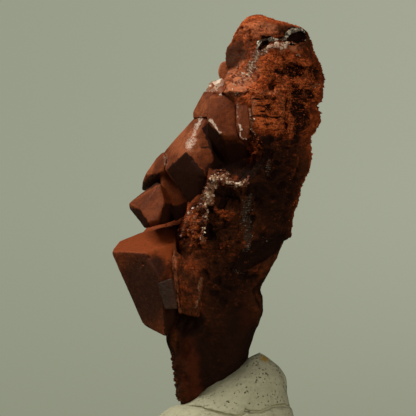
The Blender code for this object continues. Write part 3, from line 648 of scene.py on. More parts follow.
sugar_finish, warm_finish, clear_finish = (calcite_grains(*look) for look in (
    ("sugary_calcite", (0.2, 0.046, 0.013), (0.5, 0.26, 0.125), (0.82, 0.62, 0.43)),
    ("rusty_calcite", (0.42, 0.12, 0.045), (0.66, 0.32, 0.17), (0.88, 0.68, 0.5)),
    ("clear_calcite", (0.09, 0.058, 0.034), (0.28, 0.215, 0.13), (0.8, 0.7, 0.52)),
))

crumb_finish, at = new_finish("rust_crumbs")
shade, cloud = at["shade"], at.noise(1.1, 3)
tone = (shade * 0.6 + cloud * 0.9 - 0.55).step(0, 0.5).mix(RUST_DEEP, RUST_RED)
tone = (shade + cloud * 0.4 - 0.85).step(0.2, 0.45).mix(tone, RUST_ORANGE)
complete(crumb_finish, tone, 0.95 - shade * 0.1, at.noise(0.1, 2), 0.03, 0.1)

area = np.linalg.norm(np.cross(np.gradient(stone, axis=0), np.gradient(stone, axis=1)), axis=-1)
for name, weight, count, seed, size, finish, lightness, material_slot in (
    ("sugar_on_matrix", pale**2, SUGAR_GRAINS, 51, SUGAR_SIZE, sugar_finish,
     0.78 * pale + 0.35 * masks["salmon"], "druse"),
    ("vein_grains", vein**2, VEIN_GRAINS, 57, VEIN_SIZE, clear_finish, 0.22, "druse"),
    ("chips_on_matrix", patches(CHIP_PATCHES, x, z) * facing, EDGE_CHIPS, 55, CHIP_SIZE, warm_finish, 0.8,
     "druse"),
    ("crumbs_on_matrix", rough * np.clip(masks["rust"] - 0.2 - 0.6 * pale, 0, 1), RUST_CRUMBS, 53,
     CRUMB_SIZE, crumb_finish, 0.5, "rusty_stone"),
    ("bumps_on_foot", bands(BUMPY_BANDS, x, z), FOOT_BUMPS, 61, BUMP_SIZE, crumb_finish, -0.2,
     "rusty_stone"),
):
    places = pick(area * weight, count, seed)
    grains = scatter(
        name, stone.reshape(-1, 3)[places], normal.reshape(-1, 3)[places], size, finish, seed + 1,
        (lightness + 0 * area).ravel()[places],
    )
    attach(grains, "root")
    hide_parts("matrix")


# ---- The crystals --------------------------------------------------------------------------------
# Blocky calcite under a thin red-brown coat of iron oxide, grown from the matrix in two clusters and a
# small one behind the knob. Where an edge was knocked, or the coat is thin, the calcite shows white.

# Corners of each crystal, as (x, y, z) in millimetres.
SIDE_BLOCK = (
    (-3.7, -3.5, 54.7), (-2.5, -5, 54.6), (-5.4, -2.5, 51.6), (-5.4, -2.5, 50.5), (-3.1, -7, 50.7),
    (-2.3, -7.5, 51.6), (-3.7, 6, 54.7), (-2.2, 6, 54.7), (-5.3, 5, 51.5), (-5.1, 5, 50.5),
    (-2.2, 5, 50.4), (0, -4, 54), (0, 4, 51),
)
BROAD_BLOCK = (
    (-2.8, -7.5, 53.9), (-0.9, -7, 54.6), (1.1, -8.8, 53.8), (1.6, -11.8, 47.4), (-1.2, -11.6, 48),
    (-3.3, -10.2, 50.2), (-3.4, -5, 46.3), (-2, -4.5, 44), (0, -5, 42.3), (2.8, -7, 43.4),
    (3.4, -9, 45.7), (-3.1, 2, 53.9), (1.9, 2, 53.9), (-3.4, 2, 46.3), (2.8, 2, 43.4),
)
NARROW_BLOCK = (
    (1.3, -10, 53.9), (2.8, -10.9, 54.2), (3.3, -13, 48.8), (2.8, -13, 47), (1.9, -12.7, 47.1),
    (1.2, -12.2, 49.3), (1.2, -6, 54.1), (3.1, -6, 54.1), (1.2, -6, 47.3), (3.4, -6, 47.3),
)
SLOPING_BLOCK = (
    (-5.3, 2, 50.7), (-4.7, -3.6, 50.8), (-3.2, -5.4, 50.9), (-3.4, -6.9, 46.5), (-4.3, -7.9, 45.6),
    (-6.4, -8, 45.4), (-9.8, -4, 42.6), (-10.1, 3.9, 45.4), (-2.3, -8, 45.6), (-2.2, -8.6, 44),
    (-4.2, -9.2, 41.7), (-3.5, -8.4, 40), (-3.9, -7.2, 38), (-5.6, -5.4, 37), (-9, 3, 41.7),
    (-5.6, 2, 37.2), (-3.1, 1, 38), (-2.2, 1, 44.2), (-3.1, 3, 50.5), (-5.1, 6, 50.5),
    (-9.8, 7, 45.3),
)
SHOULDER_BLOCK = (
    (-10.1, 2, 45.4), (-11.3, 2.5, 44.3), (-12.9, 3.5, 42), (-13.3, 5, 40.9), (-13.5, 7.2, 39.5),
    (-10.5, -2.5, 42.3), (-9.6, -3, 44.2), (-9.6, -3, 42.3), (-10.5, 3, 40.6), (-12.7, 7.5, 39.4),
    (-10.1, 9, 45.4), (-13.2, 10, 40.8), (-13.3, 10, 39.4), (-9.8, 8, 39.5), (-5.9, 8, 44.2),
    (-5.9, 6, 40.3), (-9.6, 2, 40.3),
)
INNER_BLOCK = (
    (-10.4, -1.5, 43.4), (-7.8, -2.2, 43.4), (-10.4, -0.5, 38.1), (-9.9, -1, 37.7), (-8.1, -1.6, 34.6),
    (-6.5, -2.2, 35.5), (-4.8, -2.6, 36.7), (-5, -2.6, 41.1), (-10.4, 6, 43.4), (-10.4, 6, 38.1),
    (-8.1, 4, 34.6), (-4.8, 6, 37), (-4.8, 6, 43.4),
)
POINTED_BLOCK = (
    (-15.4, 1, 37.5), (-15.3, 0.6, 36.5), (-11, 2, 40.8), (-10.5, -3, 40.5), (-9.8, -5.5, 37.5),
    (-10.8, -7, 34.9), (-12.1, -6.8, 34.4), (-13.6, -4.5, 36.7), (-12.9, -3.2, 33.5), (-9.6, -4, 34.3),
    (-9, -3, 37.2), (-12.1, 5, 33.8), (-15.2, 5, 37), (-11, 7, 40.8), (-7.8, 6, 38),
    (-7.8, 6, 34.9),
)
GREAT_BLOCK = (
    (-18.1, -1, 29.9), (-17.1, 4.7, 31.6), (-12.7, 6, 33.4), (-9.8, 6, 34), (-7.8, 5, 34.2),
    (-15.5, -4.5, 30.1), (-12.6, -7.5, 30), (-10.5, -9.5, 25.7), (-8.8, -7.8, 28.1), (-8.2, -5.6, 31.4),
    (-9.9, -8.7, 22), (-9.6, -6.8, 16.8), (-13.1, -3, 18.5), (-11.3, -4, 17.6), (-17.8, 2, 29.6),
    (-15.2, 8, 28.4), (-12.6, 4, 19.1), (-9.3, 3, 17.2), (-7.8, 8, 33.9), (-7.1, 5, 17.8),
    (-7.1, -5, 22.5),
)
GREY_BLOCK = (
    (-10.8, -10, 25.2), (-8.7, -10.3, 26), (-7.8, -9.8, 21.3), (-9.7, -9.9, 21.2), (-10.5, -5, 25),
    (-8.1, -5, 25.6), (-7.8, -5, 21.4), (-9.8, -5, 21.7),
)
STEP_BLOCK = (
    (-8.8, -7.4, 28.6), (-8.2, -7.2, 30.2), (-7.6, -7.6, 20.6), (-5, -8.3, 20), (-4.6, -8.8, 23.1),
    (-4.1, -9.1, 25.2), (-3.6, -8.6, 26.2), (-7.2, -8.1, 27.9), (-8.5, -3, 30.4), (-7.6, -3, 20.6),
    (-3.8, -5, 20), (-3.3, -5, 26.4),
)
REAR_LOWER_BLOCK = (
    (-14.6, 6.5, 31.4), (-13.4, 11.5, 31.6), (-12.4, 9, 34.1), (-7, 12.2, 35.4), (-7.2, 5, 34.2),
    (-12.6, 6, 24.4), (-11.6, 10.4, 23.6), (-6, 10, 23), (-7, 5, 22.6),
)
REAR_UPPER_BLOCK = (
    (-8.6, 5.4, 46.8), (-7.6, 11.4, 45.8), (-3.2, 12.6, 49.4), (-2.6, 5, 51.2), (-10.4, 7.4, 40.6),
    (-9.2, 12, 39.4), (-4, 12, 38.4), (-4.8, 5, 37.2),
)
FAR_CRYSTAL = (
    (-1.6, 4.7, 58.1), (-1.2, 4.5, 59.2), (-0.5, 4, 59.7), (0.3, 3.6, 59.4), (-1.4, 4.6, 57.2),
    (-0.9, 4.2, 56.6), (0, 3.7, 56.6), (-1.6, 6.5, 58.1), (-1.2, 7.5, 59.4), (-0.3, 7, 59.8),
    (0.3, 8, 59.1), (-1.4, 7, 57), (-0.3, 7, 56.4), (1.6, 6, 58.2),
)
EDGE_POWER, STEP_POWER, GREY_POWER, FAR_POWER = 55, 40, 120, 14  # the higher, the sharper its edges
EDGE_WIDTH = 0.35  # reach of the wear beside an edge, in millimetres
EDGE_WEAR, CHIP_DEPTH = 0.05, 0.28
STAIN_WANDER = (0.25, 0.6)  # as for the stone's
STEP_WEATHERING = ((0.3, 1.4, 36), (0.25, 0.6, 37))

BARE_PATCHES = (
    (-5.8, 46.6, 0.9, 1.3, -20, 0.42),  # thin coat on the sloping face
    (-9.6, 44, 0.4, 1.2, 0, 0.3),  # edge of the shoulder
)
BARE_BANDS = (
    (((-4.2, 50.5), (-5.3, 48.2)), 0.5, 0.42),  # streak down the sloping face
    (((1.3, 52.6), (1.5, 50.2)), 0.14, 0.3),  # edge of the narrow crystal
    (((1.75, 48.7), (1.85, 47.9), (2.2, 47.2), (2.7, 47.1)), 0.1, 0.5),  # its lower edge
)
BARE_FACETS = (
    (((-1.25, 48), (-1, 48.1), (-2.35, 50.2), (-2.95, 50.5), (-3, 50)), 0.58),  # broad crystal's ridge
    (((1.7, 48.6), (2.7, 48.6), (1.8, 49.5), (1.5, 50)), 0.58),  # narrow one's foot
)
# Painted light: a paler salmon coat on faces turned to the light, and on the far crystal and the great
# crystal's right side, where the lamps barely reach.
BRIGHT_PATCHES = (
    (-6.6, 47, 3.4, 3, -40, 0.75),  # sloping face
    (-4.2, 52.6, 1.6, 2.4, 0, 0.6),  # side crystal
    (-0.9, 58.2, 1.6, 2, 0, 1),  # far crystal
    (-12.6, 43.2, 1.8, 1.6, 0, 0.6),  # shoulder
    (-8.1, 29.4, 0.7, 6, 0, 0.9),  # right side of the great crystal
)
# Painted shade: the coat darkened under and between the crystals, in the slit and on the great crystal's
# front, which looks down.
DIM_PATCHES = (
    (0.6, 43.6, 3.4, 2.4, 0, 0.8),  # under the broad crystal
    (-2.2, 42.6, 1.5, 1, 20, 1),  # between it and the sloping one
    (-3.5, 46, 0.9, 0.25, 0, 0.9),  # slit
    (-13, 24.2, 5.2, 8, 0, 0.75),  # front of the great crystal
)
# Faces in shade: the sloping crystal's lower one, two of the broad one's, the shoulder's, the pointed one's
# bevel and underside, the inner one's foot and the great one's foot.
DIM_FACETS = (
    (((-5.6, 36.8), (-3.9, 37.8), (-3, 40.3), (-3.9, 42.6), (-6.4, 45.4), (-9.5, 42.7)), 0.95),
    (((-1.9, 44.2), (-1.1, 44.2), (-0.6, 45.7), (-1.1, 47.9), (-3.2, 49.8), (-4.1, 49), (-3.1, 46.3)), 1),
    (((-0.5, 41.9), (2.6, 41.4), (3.4, 44.2), (2.9, 46.4), (1.2, 47), (-1.1, 47.4), (-1.9, 42.9)), 0.7),
    (((-13.2, 39.2), (-10.4, 40.4), (-10.4, 42.2), (-12.1, 41.9), (-13.6, 40.3)), 0.8),
    (((-12.9, 33), (-11.8, 33.6), (-13.5, 36.5), (-15.5, 37), (-15.5, 36.3)), 0.95),
    (((-10.9, 34), (-8.6, 34.2), (-7.2, 35.6), (-7.4, 36.9), (-9.6, 37.6), (-10, 37)), 0.85),
    (((-8.5, 34.3), (-5.5, 36.4), (-5.6, 38), (-8, 37.2)), 0.8),
    (((-9.8, 16.4), (-6.5, 16.4), (-6.5, 21.2), (-9.8, 21.2)), 1),
)
# Painted shade on faces that look up: the right part of the great crystal's top, which turns from the
# light, and the top of the crystal behind it, under the ones above.
TOP_SHADES = (
    (-11, 27.6, 2, 2.4, 20, 0.8),  # right part of the great crystal's top
    (-9.9, 34.7, 3.8, 0.8, 13, 0.3),  # the crystal behind it
)
CLAY_PATCHES = ((-13, 24.2, 5, 7.4, 0, 0.3),)  # front of the great crystal
CLAY_BANDS = ((((-9.8, 42.4), (-5.8, 37.2)), 0.4, 0.45),)  # foot of the sloping crystal
STEP_RUST_PATCHES = ((-5.4, 27.6, 1.6, 0.8, 0, 0.15),)  # near the step crystal's top
STEP_SALMON_BANDS = ((((-8.5, 30), (-8.3, 26), (-7.6, 20.8)), 0.6, 0.36),)  # down its left edge
STEP_PALE_BANDS = ((((-3.7, 26.8), (-4.5, 24.4), (-4.4, 23.2), (-5, 21.4)), 0.4, 0.42),)  # and its right


def faces_of(corners):
    """Outward normals and distances of the convex block around these corners: the planes through three
    corners that have all others on one side."""
    corners = np.array(corners, float)
    middle = corners.mean(axis=0)
    trio = corners[np.array(list(combinations(range(len(corners)), 3)))]
    normal = np.cross(trio[:, 1] - trio[:, 0], trio[:, 2] - trio[:, 0])
    size = np.linalg.norm(normal, axis=1)
    normal, origin = normal[size > 1e-6] / size[size > 1e-6, None], trio[size > 1e-6, 0]
    reach = np.einsum("ij,ij->i", normal, origin - middle)
    normal, reach = normal * np.sign(reach)[:, None], np.abs(reach)
    outside = (corners - middle) @ normal.T > reach + 1e-6
    kept = ~outside.any(axis=0) & (reach > 1e-6)
    planes = np.unique(np.round(np.column_stack((normal, reach))[kept], 5), axis=0)
    return middle, planes[:, :3], planes[:, 3], np.ptp(corners, axis=0)


def globe(columns, rows, half):
    """Rings of points on an ellipsoid with these half widths, from its foot to its top."""
    rise, turn = np.linspace(-np.pi / 2, np.pi / 2, rows + 2)[1:-1, None], around(columns)
    return np.stack(np.broadcast_arrays(
        half[0] * np.cos(rise) * np.cos(turn), half[1] * np.cos(rise) * np.sin(turn), half[2] * np.sin(rise)
    ), axis=-1)


def crystal(corners, columns, rows, seed, power=EDGE_POWER):
    """Rings of points on a block with worn edges, and how near each is to an edge. Along a unit direction
    d the surface lies at the power mean (sum of (n.d/h)^p)^(-1/p) over faces with normal n at distance h.
    Chips and a slight unevenness are taken off along d."""
    middle, normals, reach, spread = faces_of(corners)
    way = globe(columns, rows, spread)
    way /= np.linalg.norm(way, axis=-1, keepdims=True)
    pull = np.maximum(way @ normals.T / reach, 1e-9)
    strongest = pull.max(axis=-1)
    radius = 1 / (strongest * ((pull / strongest[..., None]) ** power).sum(axis=-1) ** (1 / power))
    rival = np.where((normals @ normals.T)[pull.argmax(axis=-1)] < 0.97, pull, 0).max(axis=-1)
    edge = 1 - fade((1 - rival / strongest) * radius / EDGE_WIDTH, 0, 1)
    points = middle + way * radius[..., None]
    chips = edge * (EDGE_WEAR + CHIP_DEPTH * fade(lumps(points, 1.1, seed), 0.25, 0.8))
    uneven = 0.05 * lumps(points, 2.2, seed + 1) + 0.03 * lumps(points, 0.7, seed + 2)
    return points + way * (uneven - chips)[..., None], edge


DARK_COAT_AND_SHADE, COAT_DEEP = (0.028, 0.0075, 0.0025), (0.1, 0.021, 0.005)
COAT_BROWN, COAT_ORANGE = (0.22, 0.048, 0.011), (0.27, 0.052, 0.01)
SALMON_COAT_AND_LIGHT, BARE_CALCITE = (0.45, 0.125, 0.042), (0.76, 0.56, 0.42)
CLAY_DEEP = (0.03, 0.021, 0.016)

coat_finish, at = new_finish("iron_coated_calcite")
broad, fine, grit = at.noise(2.6, 4), at.noise(0.7, 5, 0.65), at.noise(0.25, 3, 0.75)
flow = at.stretched(2.5, 2.5, 0.5).noise(0.5, 3, 0.6)
tone = (broad * 0.8 + fine * 0.6 - 0.45).step(0, 0.5).mix(COAT_DEEP, COAT_BROWN)
# Painted light: the bright mask.
tone = (at["bright"] * 0.75 + broad * 0.45 + fine * 0.4 - 0.5).step(0.1, 0.75).mix(tone, SALMON_COAT_AND_LIGHT)
# Painted shade: the dim mask.
tone = (at["dim"] * 1.1 - fine * 0.35).step(0.1, 0.8).mix(tone, DARK_COAT_AND_SHADE)
# Orange on faces that look up: partly rust, partly painted light.
tone = (at["rusty"] * 1.1 - fine * 0.4).step(0.1, 0.7).mix(tone, COAT_ORANGE)
clay = (fine * 0.6 + flow * 0.6 - 0.1).step(0.3, 0.7).mix(CLAY_DEEP, CLAY)
tone = (at["clay"] * 0.85 + fine * 0.3 - 0.2).step(0.1, 0.8).mix(tone, clay)
rubbed = (at["edge"] * 0.55 - at["dim"] * 0.5 + grit * 0.5 + broad * 0.5 - 0.78).step(0.12, 0.4)
tone = (rubbed * 0.5).mix(tone, SALMON_COAT_AND_LIGHT)
speck = at.noise(0.6, 7, 0.9)
tone = (speck + grit * 0.4 - 0.49).step(0, 0.2).mix(DARK_COAT_AND_SHADE, tone)
tone = ((speck * 1.2 + grit * 0.5 - 0.97).step(0, 0.14) * (0.5 - at["dim"] * 0.45)).mix(tone, SALMON_COAT_AND_LIGHT)
bare = (at["bare"] + grit * 1.2 + fine * 0.5 - 1).step(0.05, 0.5)
tone = bare.mix(tone, BARE_CALCITE)
complete(
    coat_finish, tone, 0.6 - bare * 0.2 + grit * 0.15, fine * 0.5 + grit * 0.35 + flow * 0.25, 0.16, 0.09
)


def grow(name, node, blocks, power=EDGE_POWER, clay=0, top=0):
    """A cluster of crystals that stands for a node. Each block is (corners, columns, rows, seed). All of
    it carries this share of clay, and the faces that look up this share of orange, partly rust and partly
    painted light."""
    shells, edges = zip(*(crystal(*block, power) for block in blocks))
    masks = {"edge": edges, "rusty": []}
    drawn = [wandering(points, *STAIN_WANDER, 91) for points in shells]
    for mask, areas, lines, outlines in (
        ("bare", BARE_PATCHES, BARE_BANDS, BARE_FACETS), ("bright", BRIGHT_PATCHES, (), ()),
        ("dim", DIM_PATCHES, (), DIM_FACETS), ("clay", CLAY_PATCHES, CLAY_BANDS, ()),
    ):
        masks[mask] = [
            np.clip(patches(areas, *place) + bands(lines, *place) + facets(outlines, *place), 0, 1)
            * fade(-outward(points)[..., 1] + 0.4, 0, 0.4)
            for points, place in zip(shells, drawn)
        ]
    for i, points in enumerate(shells):
        # Faces that look up: orange, partly rust and partly painted light, with painted shade where
        # TOP_SHADES lie.
        upward = fade(outward(points)[..., 2], 0.2, 0.4) * top
        shaded = np.clip(patches(TOP_SHADES, *drawn[i]), 0, 1)
        masks["rusty"].append(upward * (1 - 0.9 * shaded))
        masks["dim"][i] = masks["dim"][i] * (1 - upward) + shaded * upward
        masks["clay"][i] = np.maximum(masks["clay"][i] * (1 - upward), clay)
    made = skin(name, shells, coat_finish, masks)
    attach(made, "root")
    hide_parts(node)
    return made


grow("crystals_under_knob", "upper_crystals", (
    (SIDE_BLOCK, 150, 90, 61), (BROAD_BLOCK, 240, 140, 62), (NARROW_BLOCK, 180, 120, 63),
    (REAR_UPPER_BLOCK, 130, 80, 64),
))
grow("pointed_crystals", "upper_crystals", (
    (SLOPING_BLOCK, 240, 140, 65), (SHOULDER_BLOCK, 170, 100, 66), (INNER_BLOCK, 140, 80, 67),
    (POINTED_BLOCK, 200, 120, 68),
))
grow("great_crystals", "lower_crystals", (
    (GREAT_BLOCK, 280, 160, 69), (REAR_LOWER_BLOCK, 130, 80, 72),
), top=1)
grow("grey_crystal", "lower_crystals", ((GREY_BLOCK, 130, 80, 70),), power=GREY_POWER, clay=0.7)
grow("smooth_far_crystal", "far_crystal", ((FAR_CRYSTAL, 120, 70, 73),), power=FAR_POWER)

# The step is a block of the same kind, under the matrix's own rusty crust.
step, _ = crystal(STEP_BLOCK, 240, 150, 71, STEP_POWER)
step_crust = weathered(step, (1.2, 1, 0.6), STEP_WEATHERING)
step = step + outward(step) * step_crust[..., None]
x, z = wandering(step, *STAIN_WANDER, 92)
step_masks = {
    "rust": 0.05 + 0.8 * step_crust + patches(STEP_RUST_PATCHES, x, z),
    # Painted shade: darker where its crust lies low.
    "dark": 0.4 - 0.7 * step_crust, "grey": 0 * x, "red": 0 * x, "rough": 0.4 + 0 * x,
    "salmon": bands(STEP_SALMON_BANDS, x, z), "pale": bands(STEP_PALE_BANDS, x, z),
}
step = skin("rusty_step", [step], stone_finish, {mask: [values] for mask, values in step_masks.items()})
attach(step, "root")
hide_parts("lower_crystals")


# ---- The crust along the cleft -------------------------------------------------------------------
# Tiny calcite crystals, grown together into one crust, line the rim of the open cleft under the knob. They
# are the palest thing on the specimen and sparkle against the dark inside.

CLEFT_RIM = (
    (4.25, 59.6), (4.35, 60.65), (4.45, 61.6), (4.75, 62.05), (5.3, 62.5), (6.4, 62.6), (7.5, 62.5),
    (8.5, 62.5), (9.1, 63.5), (9.8, 64), (10.5, 64.25), (11.3, 64.2), (11.9, 63.8), (12.1, 63.1),
    (11.8, 62.35), (10.85, 61.95), (9.95, 61.9), (9.25, 62.05), (8.4, 61.85), (7.9, 61.6), (6.6, 61.55),
    (5.8, 61.3), (4.9, 60.65),
)
CRUST_STEPS, CRUST_SIDES, CRUST_LIFT, CRUST_SMOOTHINGS = 200, 20, 0.06, 12
CRUST_CORD = 0.7  # how thick the fused cord under its grains is, as a share of the crust
CRUST_GRAINS, LIP_GRAINS = 1900, 1200
CRUST_RADIUS = (
    (0, 0.05), (1, 0.08), (2, 0.14), (3.2, 0.12), (5, 0.1), (6.5, 0.1), (7.5, 0.17), (9.4, 0.18),
    (10.4, 0.1), (11.2, 0.02), (13.8, 0.02), (14.8, 0.11), (16, 0.16), (17.6, 0.12), (18.9, 0.07),
)
CRUST_LIP = 13.4  # how far along it the lower lip begins, which rust has stained
CRUST_GAP = (12.5, 1.4)  # middle and half length of its bare stretch, beside the large hollow


def stone_front(x, height):
    """The depth of the stone's front at (x, height), read off a fine section at that height."""
    turn = np.linspace(-np.pi, 0, 241)
    ring = stone_surface(np.cos(turn), np.sin(turn), np.full(241, height))
    return np.interp(x, ring[:, 0], ring[:, 1])


rim = np.array(CLEFT_RIM)
run = np.concatenate(([0], np.cumsum(np.linalg.norm(np.diff(rim, axis=0), axis=1))))
run_at = np.linspace(0, run[-1], CRUST_STEPS)
x, z = (np.interp(run_at, run, column) for column in rim.T)
depth = np.array([stone_front(*place) for place in zip(x, z)])
centre = np.column_stack((x, depth - CRUST_LIFT, z))
for _ in range(CRUST_SMOOTHINGS):
    centre[1:-1] = (centre[:-2] + 2 * centre[1:-1] + centre[2:]) / 4
ahead = np.gradient(centre, axis=0)
ahead /= np.linalg.norm(ahead, axis=1, keepdims=True)
out = np.cross(ahead, (0, 1, 0))
out /= np.linalg.norm(out, axis=1, keepdims=True)
up = np.cross(out, ahead)
angle = np.linspace(0, 2 * np.pi, CRUST_SIDES, endpoint=False)[None, :, None]
spoke = np.cos(angle) * out[:, None] + np.sin(angle) * up[:, None]
bare = np.abs(run_at - CRUST_GAP[0]) - CRUST_GAP[1]
ends = np.sqrt(np.clip(np.minimum(np.minimum(run_at, run[-1] - run_at), bare) / 0.5, 0.02, 1))[:, None]
radius = glide(CRUST_RADIUS, run_at)[:, None] * (1 + 0.8 * lumps(centre[:, None], 0.8, 86)).clip(0.25)
swell = radius * ends * (0.9 + 1.4 * lumps(centre[:, None] + spoke * radius[..., None], 0.35, 81)).clip(0.2)
rings = centre[:, None] + spoke * swell[..., None]
cord = skin("cleft_crust", [centre[:, None] + CRUST_CORD * (rings - centre[:, None])], clear_finish, {
    "shade": [0.1 + 0.7 * lumps(rings, 0.5, 82)],
})
crust_parts = [cord]
lip = np.broadcast_to((run_at > CRUST_LIP)[:, None], swell.shape[:2]).ravel()
for name, part, count, finish in (
    ("cleft_grains", ~lip, CRUST_GRAINS, clear_finish), ("cleft_lip_grains", lip, LIP_GRAINS, warm_finish),
):
    crowd = (lumps(rings, 0.9, 85) + 0.15).clip(0.008) * (radius - 0.025).clip(0)
    places = pick(crowd.ravel() * part, count, 83)
    largest = np.repeat(radius.ravel() * 0.8 + 0.03, CRUST_SIDES)[places]
    crust_parts.append(scatter(
        name, rings.reshape(-1, 3)[places], spoke.reshape(-1, 3)[places], (0.03, largest), finish, 84,
        (0.7 + 1.2 * lumps(rings, 0.6, 88)).ravel()[places],
    ))
for made in crust_parts:
    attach(made, "root")
    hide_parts("cleft_druse")


# ---- The putty -----------------------------------------------------------------------------------
# A lump of grey-green mounting putty, rolled between fingers and pressed down on what it stands on. The
# foot of the stone is pushed into it, so that it rises to a point behind the foot and folds in front.

PUTTY_LEFT = (
    (0, -11.6), (1.6, -12.7), (3.1, -12.4), (4.5, -10.7), (5.7, -8.9), (6.6, -6.4), (7.6, -4.9),
    (9.6, -3), (10.9, -0.9), (12.5, 1.7), (13.6, 3.2), (14.3, 4.8),
)
PUTTY_RIGHT = (
    (0, 11.4), (1.6, 12.4), (3.1, 11.3), (4.5, 10.2), (6.2, 9.6), (8.2, 9.1), (10.1, 8.8), (11.9, 7.9),
    (13.2, 6.5), (14, 5.5), (14.3, 5),
)
PUTTY_FRONT = (
    (0, 10), (1.6, 10.9), (3.1, 10.5), (6, 8.6), (9, 7.2), (12, 4.8), (13.6, 2.4), (14.3, 0.4),
)
PUTTY_BACK = (
    (0, 10), (1.6, 11.2), (3.1, 10.9), (6, 9.6), (9, 8.4), (12, 5.6), (13.6, 2.6), (14.3, 0.4),
)
PUTTY_SQUARENESS = 2.15
PUTTY_COLUMNS, PUTTY_ROWS, PUTTY_BASE_ROWS = 260, 170, 20
FLAP_EDGE = (  # edge of the fold that laps up over the front, as (x, z)
    (-9, 5.6), (-7, 6.1), (-4.7, 6.05), (-3, 5.6), (-1.4, 5.3), (1.15, 4.8), (2, 5), (2.8, 5.6),
    (4.2, 5.4), (5.9, 5.7), (7, 6.2), (8.4, 6.3), (9.3, 6),
)
FLAP_LIFT, FLAP_GROOVE = 0.5, 0.65
PUTTY_DENTS = ((0.35, 6, 21), (0.16, 2.4, 22), (0.05, 0.9, 23))  # depth, size and seed
PITTED_PATCHES = ((6.4, 10.6, 3.4, 3.2, -20, 1), (3, 7.4, 6, 1.8, 0, 0.3))
AMBER_GLINT_PATCHES = ((5.6, 13.4, 0.7, 0.45, -25, 1),)  # a painted glint near its top, on an amber grain
PUTTY_CROWDING = 1.4  # how much closer its rows stand towards the top


def putty_surface(across, along, height):
    """Points for a direction seen from above and a height: an oval between the edge curves, dented by
    noise. The fold in front stands out below its edge, with a groove along the edge."""
    left, right = glide(PUTTY_LEFT, height), glide(PUTTY_RIGHT, height)
    wide, deep = section(across, along, PUTTY_SQUARENESS)
    x = (left + right) / 2 + (right - left) / 2 * wide
    y = np.where(deep < 0, glide(PUTTY_FRONT, height), glide(PUTTY_BACK, height)) * deep
    points = np.stack((x, y, height), axis=-1)
    firm = fade(height, 0, 2)
    dent = sum(depth * lumps(points, size, seed) for depth, size, seed in PUTTY_DENTS)
    above = height - glide(FLAP_EDGE, x) - 0.12 * lumps(points, 0.9, 24)
    flap = FLAP_LIFT * fade(-above, 0, 0.5) - FLAP_GROOVE * fade(0.35 - np.abs(above), 0, 0.3)
    dent = dent * firm + flap * fade(-deep, 0.1, 0.5) * fade(above, -3.5, -1)
    points[..., 0] += dent * wide
    points[..., 1] += dent * deep
    return points


PUTTY_PALE, PUTTY_DEEP = (0.53, 0.505, 0.325), (0.42, 0.4, 0.255)
PUTTY_DUST, PUTTY_AMBER_GLINT = (0.11, 0.078, 0.042), (0.44, 0.25, 0.03)

putty_finish, at = new_finish("mounting_putty")
broad, fine, specks, dust = at.noise(5, 3), at.noise(0.6, 5, 0.65), at.cells(0.5), at.cells(0.33)
tone = (broad * 0.5 + fine * 0.8 - 0.4).step(0, 0.5).mix(PUTTY_DEEP, PUTTY_PALE)
ragged = at.noise(0.35, 4, 0.7)
crowding = at.noise(1.6, 3)
pits = 1 - (specks + ragged * 0.9 - crowding * 1.1).step(0, 0.16)
pits = pits * (at["pitted"] + crowding * 0.6 - 0.2).step(0.1, 0.7)
dusty = (at["pitted"] + crowding * 0.9 - 0.7).step(0.1, 0.6)
pits = pits + (1 - (dust + ragged * 0.5).step(0.3, 0.45)) * dusty * 0.7
tone = (pits * 0.8).step(0, 1).mix(tone, PUTTY_DUST)
# A painted glint: the amber grain near the top, painted yellow.
tone = (at["amber_glint"] * (ragged + fine).step(0.8, 1)).mix(tone, PUTTY_AMBER_GLINT)
complete(putty_finish, tone, fine * 0.15 + 0.75, fine * 0.7 - pits * 0.8, 0.16, 0.2)

turn = around(PUTTY_COLUMNS)[None, :]
share = np.linspace(0, 1, PUTTY_ROWS)[:, None]
height = PUTTY_LEFT[-1][0] * (1 - (1 - share) ** PUTTY_CROWDING)
across, along, height = np.broadcast_arrays(np.cos(turn), np.sin(turn), height)
side = putty_surface(across, along, height)
inwards = np.linspace(0.02, 1, PUTTY_BASE_ROWS, endpoint=False)[:, None, None]
under = side[:1] * inwards
under[..., 2] = 0
rings = np.concatenate((under, side))
in_front = fade(-outward(rings)[..., 1], 0, 0.3)
x, z = rings[..., 0], rings[..., 2]
putty = skin("putty_lump", [rings], putty_finish, {
    "pitted": [0.25 + patches(PITTED_PATCHES, x, z) * in_front],
    "amber_glint": [patches(AMBER_GLINT_PATCHES, x, z) * in_front],
})
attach(putty, "root")
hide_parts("putty")


# ---- The studio ----------------------------------------------------------------------------------
# A round pale table under the specimen and a far grey-green backdrop that glows by itself, lighter to
# the right and darker low down: painted light. One large soft light shines down on it from the upper
# left, and a larger, weaker one fills in from the front right.

TABLE_RADIUS, TABLE_THICKNESS = 0.088, 0.004
BACKDROP_RADIUS = 2.0
BACKDROP_LEFT, BACKDROP_RIGHT = (0.312, 0.335, 0.25), (0.368, 0.388, 0.294)
BACKDROP_LOW = (0.25, 0.265, 0.188)
BACKDROP_SIDES, BACKDROP_RISE = (-0.16, 0.16), (-0.19, 0.06)  # where these colours blend, in metres
TABLE_DEEP, TABLE_PALE = (0.3, 0.32, 0.24), (0.33, 0.35, 0.265)

table_finish, at = new_finish("table_card")
tone = at.noise(8, 2).mix(TABLE_DEEP, TABLE_PALE)
complete(table_finish, tone, at.noise(3) * 0.1 + 0.8, at.noise(0.3), 0.02, 0.2)
turn = around(128)
ring = np.stack((np.cos(turn), np.sin(turn), 0 * turn), axis=-1) * TABLE_RADIUS / MM
lower = ring - (0, 0, TABLE_THICKNESS / MM)
inset = np.array((0.99, 0.99, 1))
table = skin("table", [np.stack((lower * inset, lower, ring, ring * inset))], table_finish)
table.data.polygons.foreach_set("use_smooth", np.zeros(len(table.data.polygons), bool))

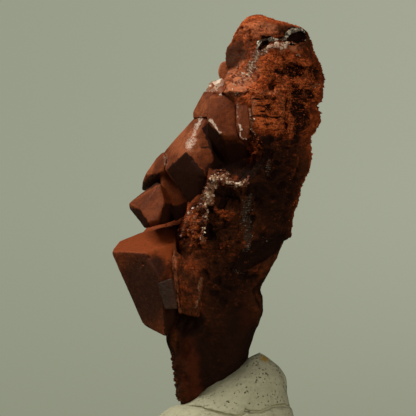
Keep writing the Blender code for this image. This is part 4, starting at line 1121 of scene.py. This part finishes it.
# Painted light: the backdrop glows, lighter to the right and darker low down.
backdrop_finish, at = new_finish("backdrop")
parts = at.node("ShaderNodeSeparateXYZ", {}, {"Vector": at})
sideways, upwards = Wire(at.tree, parts.socket.node.outputs[0]), Wire(at.tree, parts.socket.node.outputs[2])
tone = sideways.step(*BACKDROP_SIDES).mix(BACKDROP_LEFT, BACKDROP_RIGHT)
tone = upwards.step(*BACKDROP_RISE).mix(BACKDROP_LOW, tone)
glow = at.node("ShaderNodeEmission", {}, {"Color": tone, "Strength": 1})
at.tree.links.new(glow.socket, at.tree.nodes["Material Output"].inputs["Surface"])
backdrop = skin("backdrop", [globe(64, 32, [BACKDROP_RADIUS / MM] * 3)], backdrop_finish)
backdrop.visible_diffuse = backdrop.visible_glossy = backdrop.visible_shadow = False

world = bpy.data.worlds.new("studio")
world.use_nodes = True
world.node_tree.nodes["Background"].inputs["Color"].default_value = (1, 0.95, 0.85, 1)
world.node_tree.nodes["Background"].inputs["Strength"].default_value = 0.03
bpy.context.scene.world = world


def softbox(name, place, aim, size, power, colour):
    """A rectangular soft light at place that faces aim."""
    lamp = bpy.data.lights.new(name, "AREA")
    lamp.shape, lamp.size, lamp.size_y = "RECTANGLE", *size
    lamp.energy, lamp.color = power, colour
    made = bpy.data.objects.new(name, lamp)
    made.location = place
    made.rotation_euler = (Vector(aim) - Vector(place)).to_track_quat("-Z", "Y").to_euler()
    made.visible_camera = False
    bpy.context.scene.collection.objects.link(made)
    return made


softbox("key", (-0.22, 0, 0.29), (0, 0, 0.04), (0.18, 0.18), 1.1, (1, 0.98, 0.94))
softbox("front_fill", (0.18, -0.44, 0.13), (0, 0, 0.035), (0.26, 0.26), 0.95, (1, 0.97, 0.92))
bpy.context.scene.view_settings.view_transform = "Standard"

CAMERA_MIDDLE, CAMERA_AWAY = (-0.0031, 0.0367), 0.7164
camera = bpy.data.objects.new("camera", bpy.data.cameras.new("camera"))
camera.data.lens, camera.data.sensor_width = 400, 36
camera.data.clip_start, camera.data.clip_end = 0.05, 10
camera.location = (CAMERA_MIDDLE[0], -CAMERA_AWAY, CAMERA_MIDDLE[1])
camera.rotation_euler = (math.pi / 2, 0, 0)
bpy.context.scene.collection.objects.link(camera)
bpy.context.scene.camera = camera
